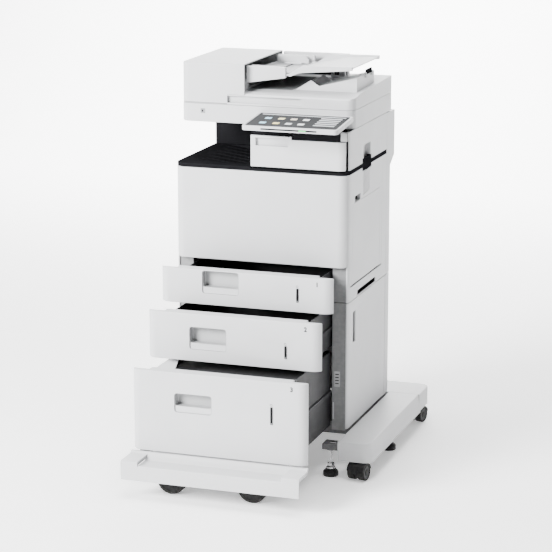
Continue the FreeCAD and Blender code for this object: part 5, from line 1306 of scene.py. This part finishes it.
# ---- control panel ----
@dataclass
class ControlPanel:
    """Tilted panel: rounded housing, dark glass, coloured tiles, lamp bar."""

    margin: float = 8.0 * MM
    tilt: float = math.radians(5.5)
    tile: float = 18.0 * MM
    columns: tuple[float, ...] = (0.17, 0.31, 0.44, 0.57)
    rows: Pair = (0.62, 0.30)
    film: Pair = (-0.4 * MM, -0.25 * MM)
    list_rows: int = 5
    list_row: float = 9.0 * MM
    bar_x: Pair = (56.0 * MM, 216.0 * MM)
    bar_z: Pair = (14.0 * MM, 18.0 * MM)
    lens_x: Pair = (165.0 * MM, 185.0 * MM)
    lens_z: Pair = (15.0 * MM, 17.0 * MM)

    def lay(self, shell: Shell) -> Shell:
        """Moves a shell from the panel's own plane to its place.

        Formula: turn about X by the tilt, then add the front left corner of the top face.

        Args:
            shell: Shell made with z out of the glass.

        Returns:
            The shell itself.
        """
        low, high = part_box("control_panel")
        corner = np.array([low.x, low.y, high.z - (high.y - low.y) * math.tan(self.tilt)])
        c, s = math.cos(self.tilt), math.sin(self.tilt)
        turn = np.array([[1, 0, 0], [0, c, -s], [0, s, c]])
        shell.points = [points @ turn.T + corner for points in shell.points]
        return shell

    def build(self) -> None:
        """Builds the housing, glass, tiles and lamp."""
        low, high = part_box("control_panel")
        width, depth = high.x - low.x, (high.y - low.y - 1.5 * MM) / math.cos(self.tilt)
        softened("control_panel", WHITE, 1.0 * MM)
        glass = Shell().slab((self.margin, width - self.margin),
                             (self.margin + 2 * MM, depth - self.margin + 3 * MM), (-2.0 * MM, -0.35 * MM),
                             (5 * MM,) * 4, 0.2 * MM, 0.3 * MM)
        dress(self.lay(glass).build("touch_glass"), SCREEN, "touch_screen", stands_for=True)
        self.tiles(width, depth)
        bar = Shell().slab(shift(self.bar_x, low.x), shift(self.bar_z, low.z), shift((-0.2 * MM, 1 * MM), low.y),
                           (1.5 * MM,) * 4, 0.1 * MM, 0.1 * MM, Axis.Y)
        dress(bar.build("panel_lamp_bar"), BLACK, "control_panel")
        lens = Shell().slab(shift(self.lens_x, low.x), shift(self.lens_z, low.z), (low.y - 0.35 * MM, low.y),
                            (0.9 * MM,) * 4, 0.05 * MM, 0.05 * MM, Axis.Y)
        dress(lens.build("panel_lamp_lens"), LED, "control_panel")

    def tiles(self, width: float, depth: float) -> None:
        """Lays the rows of coloured tiles and the list on the glass.

        Args:
            width: Panel width.
            depth: Panel depth.
        """
        tints = {"pale_blue": (0.35, 0.62, 0.78), "straw": (0.72, 0.66, 0.38), "sand": (0.62, 0.55, 0.45),
                 "pale": (0.75, 0.76, 0.77), "amber": (0.80, 0.66, 0.28), "mist": (0.66, 0.68, 0.70)}
        left, inner, middle, right = self.columns
        far, near = self.rows
        layout = [("pale_blue", left, far), ("straw", inner, far), ("sand", middle, far),
                  ("pale", right, far), ("amber", inner, near), ("mist", middle, near),
                  ("pale_blue", left, near), ("pale", right, near)]
        for number, (tint, across, up) in enumerate(layout):
            tile = Shell().slab(about(width * across, self.tile / 2), about(depth * up, self.tile / 2),
                                self.film, (3 * MM,) * 4, 0.03 * MM, 0.05 * MM)
            finish = lit("lit_tile_" + tint, tints[tint], tuple(c * 0.9 for c in tints[tint]), 0.25)
            dress(self.lay(tile).build(f"screen_tile_{number + 1}"), finish, "touch_screen")
        lines = Shell()
        for step in range(self.list_rows):
            y = depth * (0.25 + 0.12 * step)
            lines.slab((width * 0.70, width * 0.92), (y, y + self.list_row), self.film, (1.5 * MM,) * 4,
                       0.03 * MM, 0.05 * MM)
        lines.slab((width * 0.06, width * 0.94), (depth * 0.86, depth * 0.90), self.film, (1 * MM,) * 4,
                   0.03 * MM, 0.05 * MM)
        dress(self.lay(lines).build("screen_list_rows"),
              lit("lit_list_rows", (0.50, 0.52, 0.54), (0.46, 0.48, 0.50), 0.15), "touch_screen")


# ---- scanner and feeder ----
@dataclass
class Scanner:
    """Flatbed: case, glass and carriage."""

    def build(self) -> None:
        """Builds the scanner."""
        softened("scanner_case", WHITE, 1.2 * MM)
        kept(PLATEN, "platen_glass")
        softened("scan_carriage", BLACK, 0.6 * MM)


@dataclass
class Feeder:
    """Document feeder with its supply tray, guides and stop.

    Places along the machine count from the front cover's face, heights from the feeder's underside.
    """

    entry_wall_y: Pair = (86.0 * MM, 352.0 * MM)
    entry_wall_z: Pair = (58.0 * MM, 70.0 * MM)
    roof_right: float = 44.0 * MM
    roof_y: Pair = (88.0 * MM, 348.0 * MM)
    roof_z: Pair = (83.5 * MM, 83.9 * MM)
    ridge_x: Pair = (-54.0 * MM, 137.0 * MM)
    ridge_y: Pair = (375.5 * MM, 375.9 * MM)
    ridge_z: Pair = (51.0 * MM, 84.0 * MM)
    entry_split: Pair = (-10.5 * MM, 0.5 * MM)
    entry_right: float = 46.0 * MM
    entry_y: Pair = (92.0 * MM, 343.0 * MM)
    entry_z: Pair = (87.05 * MM, 87.4 * MM)
    delivery_y: Pair = (112.0 * MM, 345.0 * MM)
    delivery_right: float = 56.0 * MM
    delivery_rise: float = 40.0 * MM
    delivery_slope: float = 9.0 / 327.0

    def build(self) -> None:
        """Builds the feeder."""
        softened("feeder_base", WHITE, 1.0 * MM)
        softened("feed_cover", WHITE, 1.2 * MM)
        softened("supply_tray", WHITE, 1.2 * MM)
        softened("guide_front", WHITE, 0.7 * MM)
        softened("guide_rear", WHITE, 0.7 * MM)
        softened("paper_stop", BLACK, 0.6 * MM)
        self.linings()

    def linings(self) -> None:
        """Painted shade: black plates on the faces of the delivery space, grey plates on the floor where sheets
        enter and on the delivery floor.
        """
        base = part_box("feeder_base")[0].z
        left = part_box("feed_cover")[1].x
        # painted shade: black plates on the delivery space's wall, roof and back ridge, grey plates on the entry
        # floor
        plates = (
            ("delivery_wall_painted_shade", (left - 1.9 * MM, left - 1.5 * MM), self.entry_wall_y, self.entry_wall_z,
             BLACK, Axis.X),
            ("delivery_roof_painted_shade", (left + 3 * MM, self.roof_right), self.roof_y, self.roof_z, BLACK,
             Axis.Z),
            ("back_ridge_painted_shade", self.ridge_x, self.ridge_y, self.ridge_z, BLACK, Axis.Y),
            ("entry_floor_painted_shade_1", (left + 3 * MM, self.entry_split[0]), self.entry_y, self.entry_z, GREY, Axis.Z),
            ("entry_floor_painted_shade_2", (self.entry_split[1], self.entry_right), self.entry_y, self.entry_z, GREY,
             Axis.Z))
        for name, x, y, z, finish, axis in plates:
            SideDetails().patch(name, "feeder_base", x, y, shift(z, base), finish, axis=axis)
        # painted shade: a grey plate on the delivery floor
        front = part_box("front_cover")[0].y
        near, far = self.delivery_y
        start = base + self.delivery_rise
        end = start + self.delivery_slope * (far - near)
        outline = np.array([(near + front, start + 0.2 * MM), (far + front, end + 0.2 * MM),
                            (far + front, end + 0.6 * MM), (near + front, start + 0.6 * MM)])
        shell = Shell().prism(outline, Axis.X, (left + 2 * MM, self.delivery_right))
        dress(shell.build("delivery_floor_painted_shade"), GREY, "feeder_base")


# ---- studio ----
@dataclass
class Studio:
    """Pale floor, soft lights and the camera, in metres and degrees."""

    azimuth: float = 18.77
    elevation: float = 13.27
    distance: float = 6.110
    lens: float = 140.2
    sensor: float = 36.0
    aim: tuple[float, float, float] = (0.024, -0.001, -0.036)
    sky: float = 0.20
    near: float = -18.0
    far: float = 4.0
    cove: float = 2.5
    top: float = 9.0
    half_width: float = 14.0

    def floor(self) -> None:
        """Lays a wide pale sheet that curves up at the back.

        Formula: a profile that is flat, then a quarter circle, then upright, carried along X.
        """
        turn = np.linspace(0, math.pi / 2, 16)
        curve = np.stack([self.far + self.cove * np.sin(turn), self.cove * (1 - np.cos(turn))], 1)
        profile = np.concatenate([[[self.near, 0.0]], curve, [[self.far + self.cove, self.top]]])
        across = np.linspace(-self.half_width, self.half_width, 3)
        piece = Shell().grid(np.stack([place(profile, Axis.X, x) for x in across])).build("studio_floor")
        paper = Plastic("studio_paper", (0.95, 0.95, 0.95), (0.93, 0.93, 0.93), roughness=0.9, depth=0.0,
                        scuffs=0.0, dust=0.0, glow=0.45)
        piece.data.materials.append(paper.material())

    def lamp(self, name: str, at: tuple[float, float, float], size: float, power: float,
             target: Vector) -> None:
        """Adds a square soft light.

        Args:
            name: Name of the light.
            at: Its place.
            size: Side of the light.
            power: Power in watts.
            target: Point that it faces.
        """
        data = bpy.data.lights.new(name, "AREA")
        data.size = size
        data.energy = power
        lamp = add_object(name, data)
        lamp.location = at
        lamp.rotation_euler = (target - Vector(at)).to_track_quat("-Z", "Y").to_euler()

    def build(self) -> None:
        """Builds the studio."""
        self.floor()
        low, high = CAD_BOX
        centre = (low + high) / 2
        world = bpy.data.worlds.new("studio_world")
        bpy.context.scene.world = world
        world.use_nodes = True
        background = world.node_tree.nodes["Background"]
        background.inputs["Color"].default_value = (1, 1, 1, 1)
        background.inputs["Strength"].default_value = self.sky
        self.lamp("key_light", (-2.8, -4.0, 2.8), 2.2, 1180.0, centre)
        self.lamp("top_light", (0.2, -0.2, 4.2), 2.4, 260.0, centre)
        self.lamp("backdrop_light", (-1.5, 4.2, 3.8), 3.0, 1250.0, Vector((-1.0, 6.5, 1.4)))
        a, e = math.radians(self.azimuth), math.radians(self.elevation)
        back = Vector((math.sin(a) * math.cos(e), -math.cos(a) * math.cos(e), math.sin(e)))
        data = bpy.data.cameras.new("camera")
        data.lens = self.lens
        data.sensor_width = self.sensor
        camera = add_object("camera", data)
        camera.location = centre + Vector(self.aim) + back * self.distance
        camera.rotation_euler = (-back).to_track_quat("-Z", "Y").to_euler()
        bpy.context.scene.camera = camera


def drawers() -> list[Drawer]:
    """Sizes of the three drawers' gauges and pull pockets, above each front's lower edge.

    Returns:
        The drawers, from the top down.
    """
    return [Drawer(1, (27 * MM, 67 * MM), (33 * MM, 97 * MM)),
            Drawer(2, (29 * MM, 66 * MM), (34 * MM, 97 * MM)),
            Drawer(3, (108 * MM, 158 * MM), (118 * MM, 171 * MM), ledge=2.5 * MM)]


def main() -> None:
    """Builds every sub-assembly in order."""
    logging.basicConfig(level=logging.INFO, format="%(name)s: %(message)s")
    assemblies = [Base(), Cabinet(), *drawers(), FootPanel(), MainUnit(), SideDetails(), ControlPanel(),
                  Scanner(), Feeder(), Studio()]
    for assembly in assemblies:
        LOG.info("building %s", type(assembly).__name__)
        assembly.build()


if __name__ == "__main__":
    main()
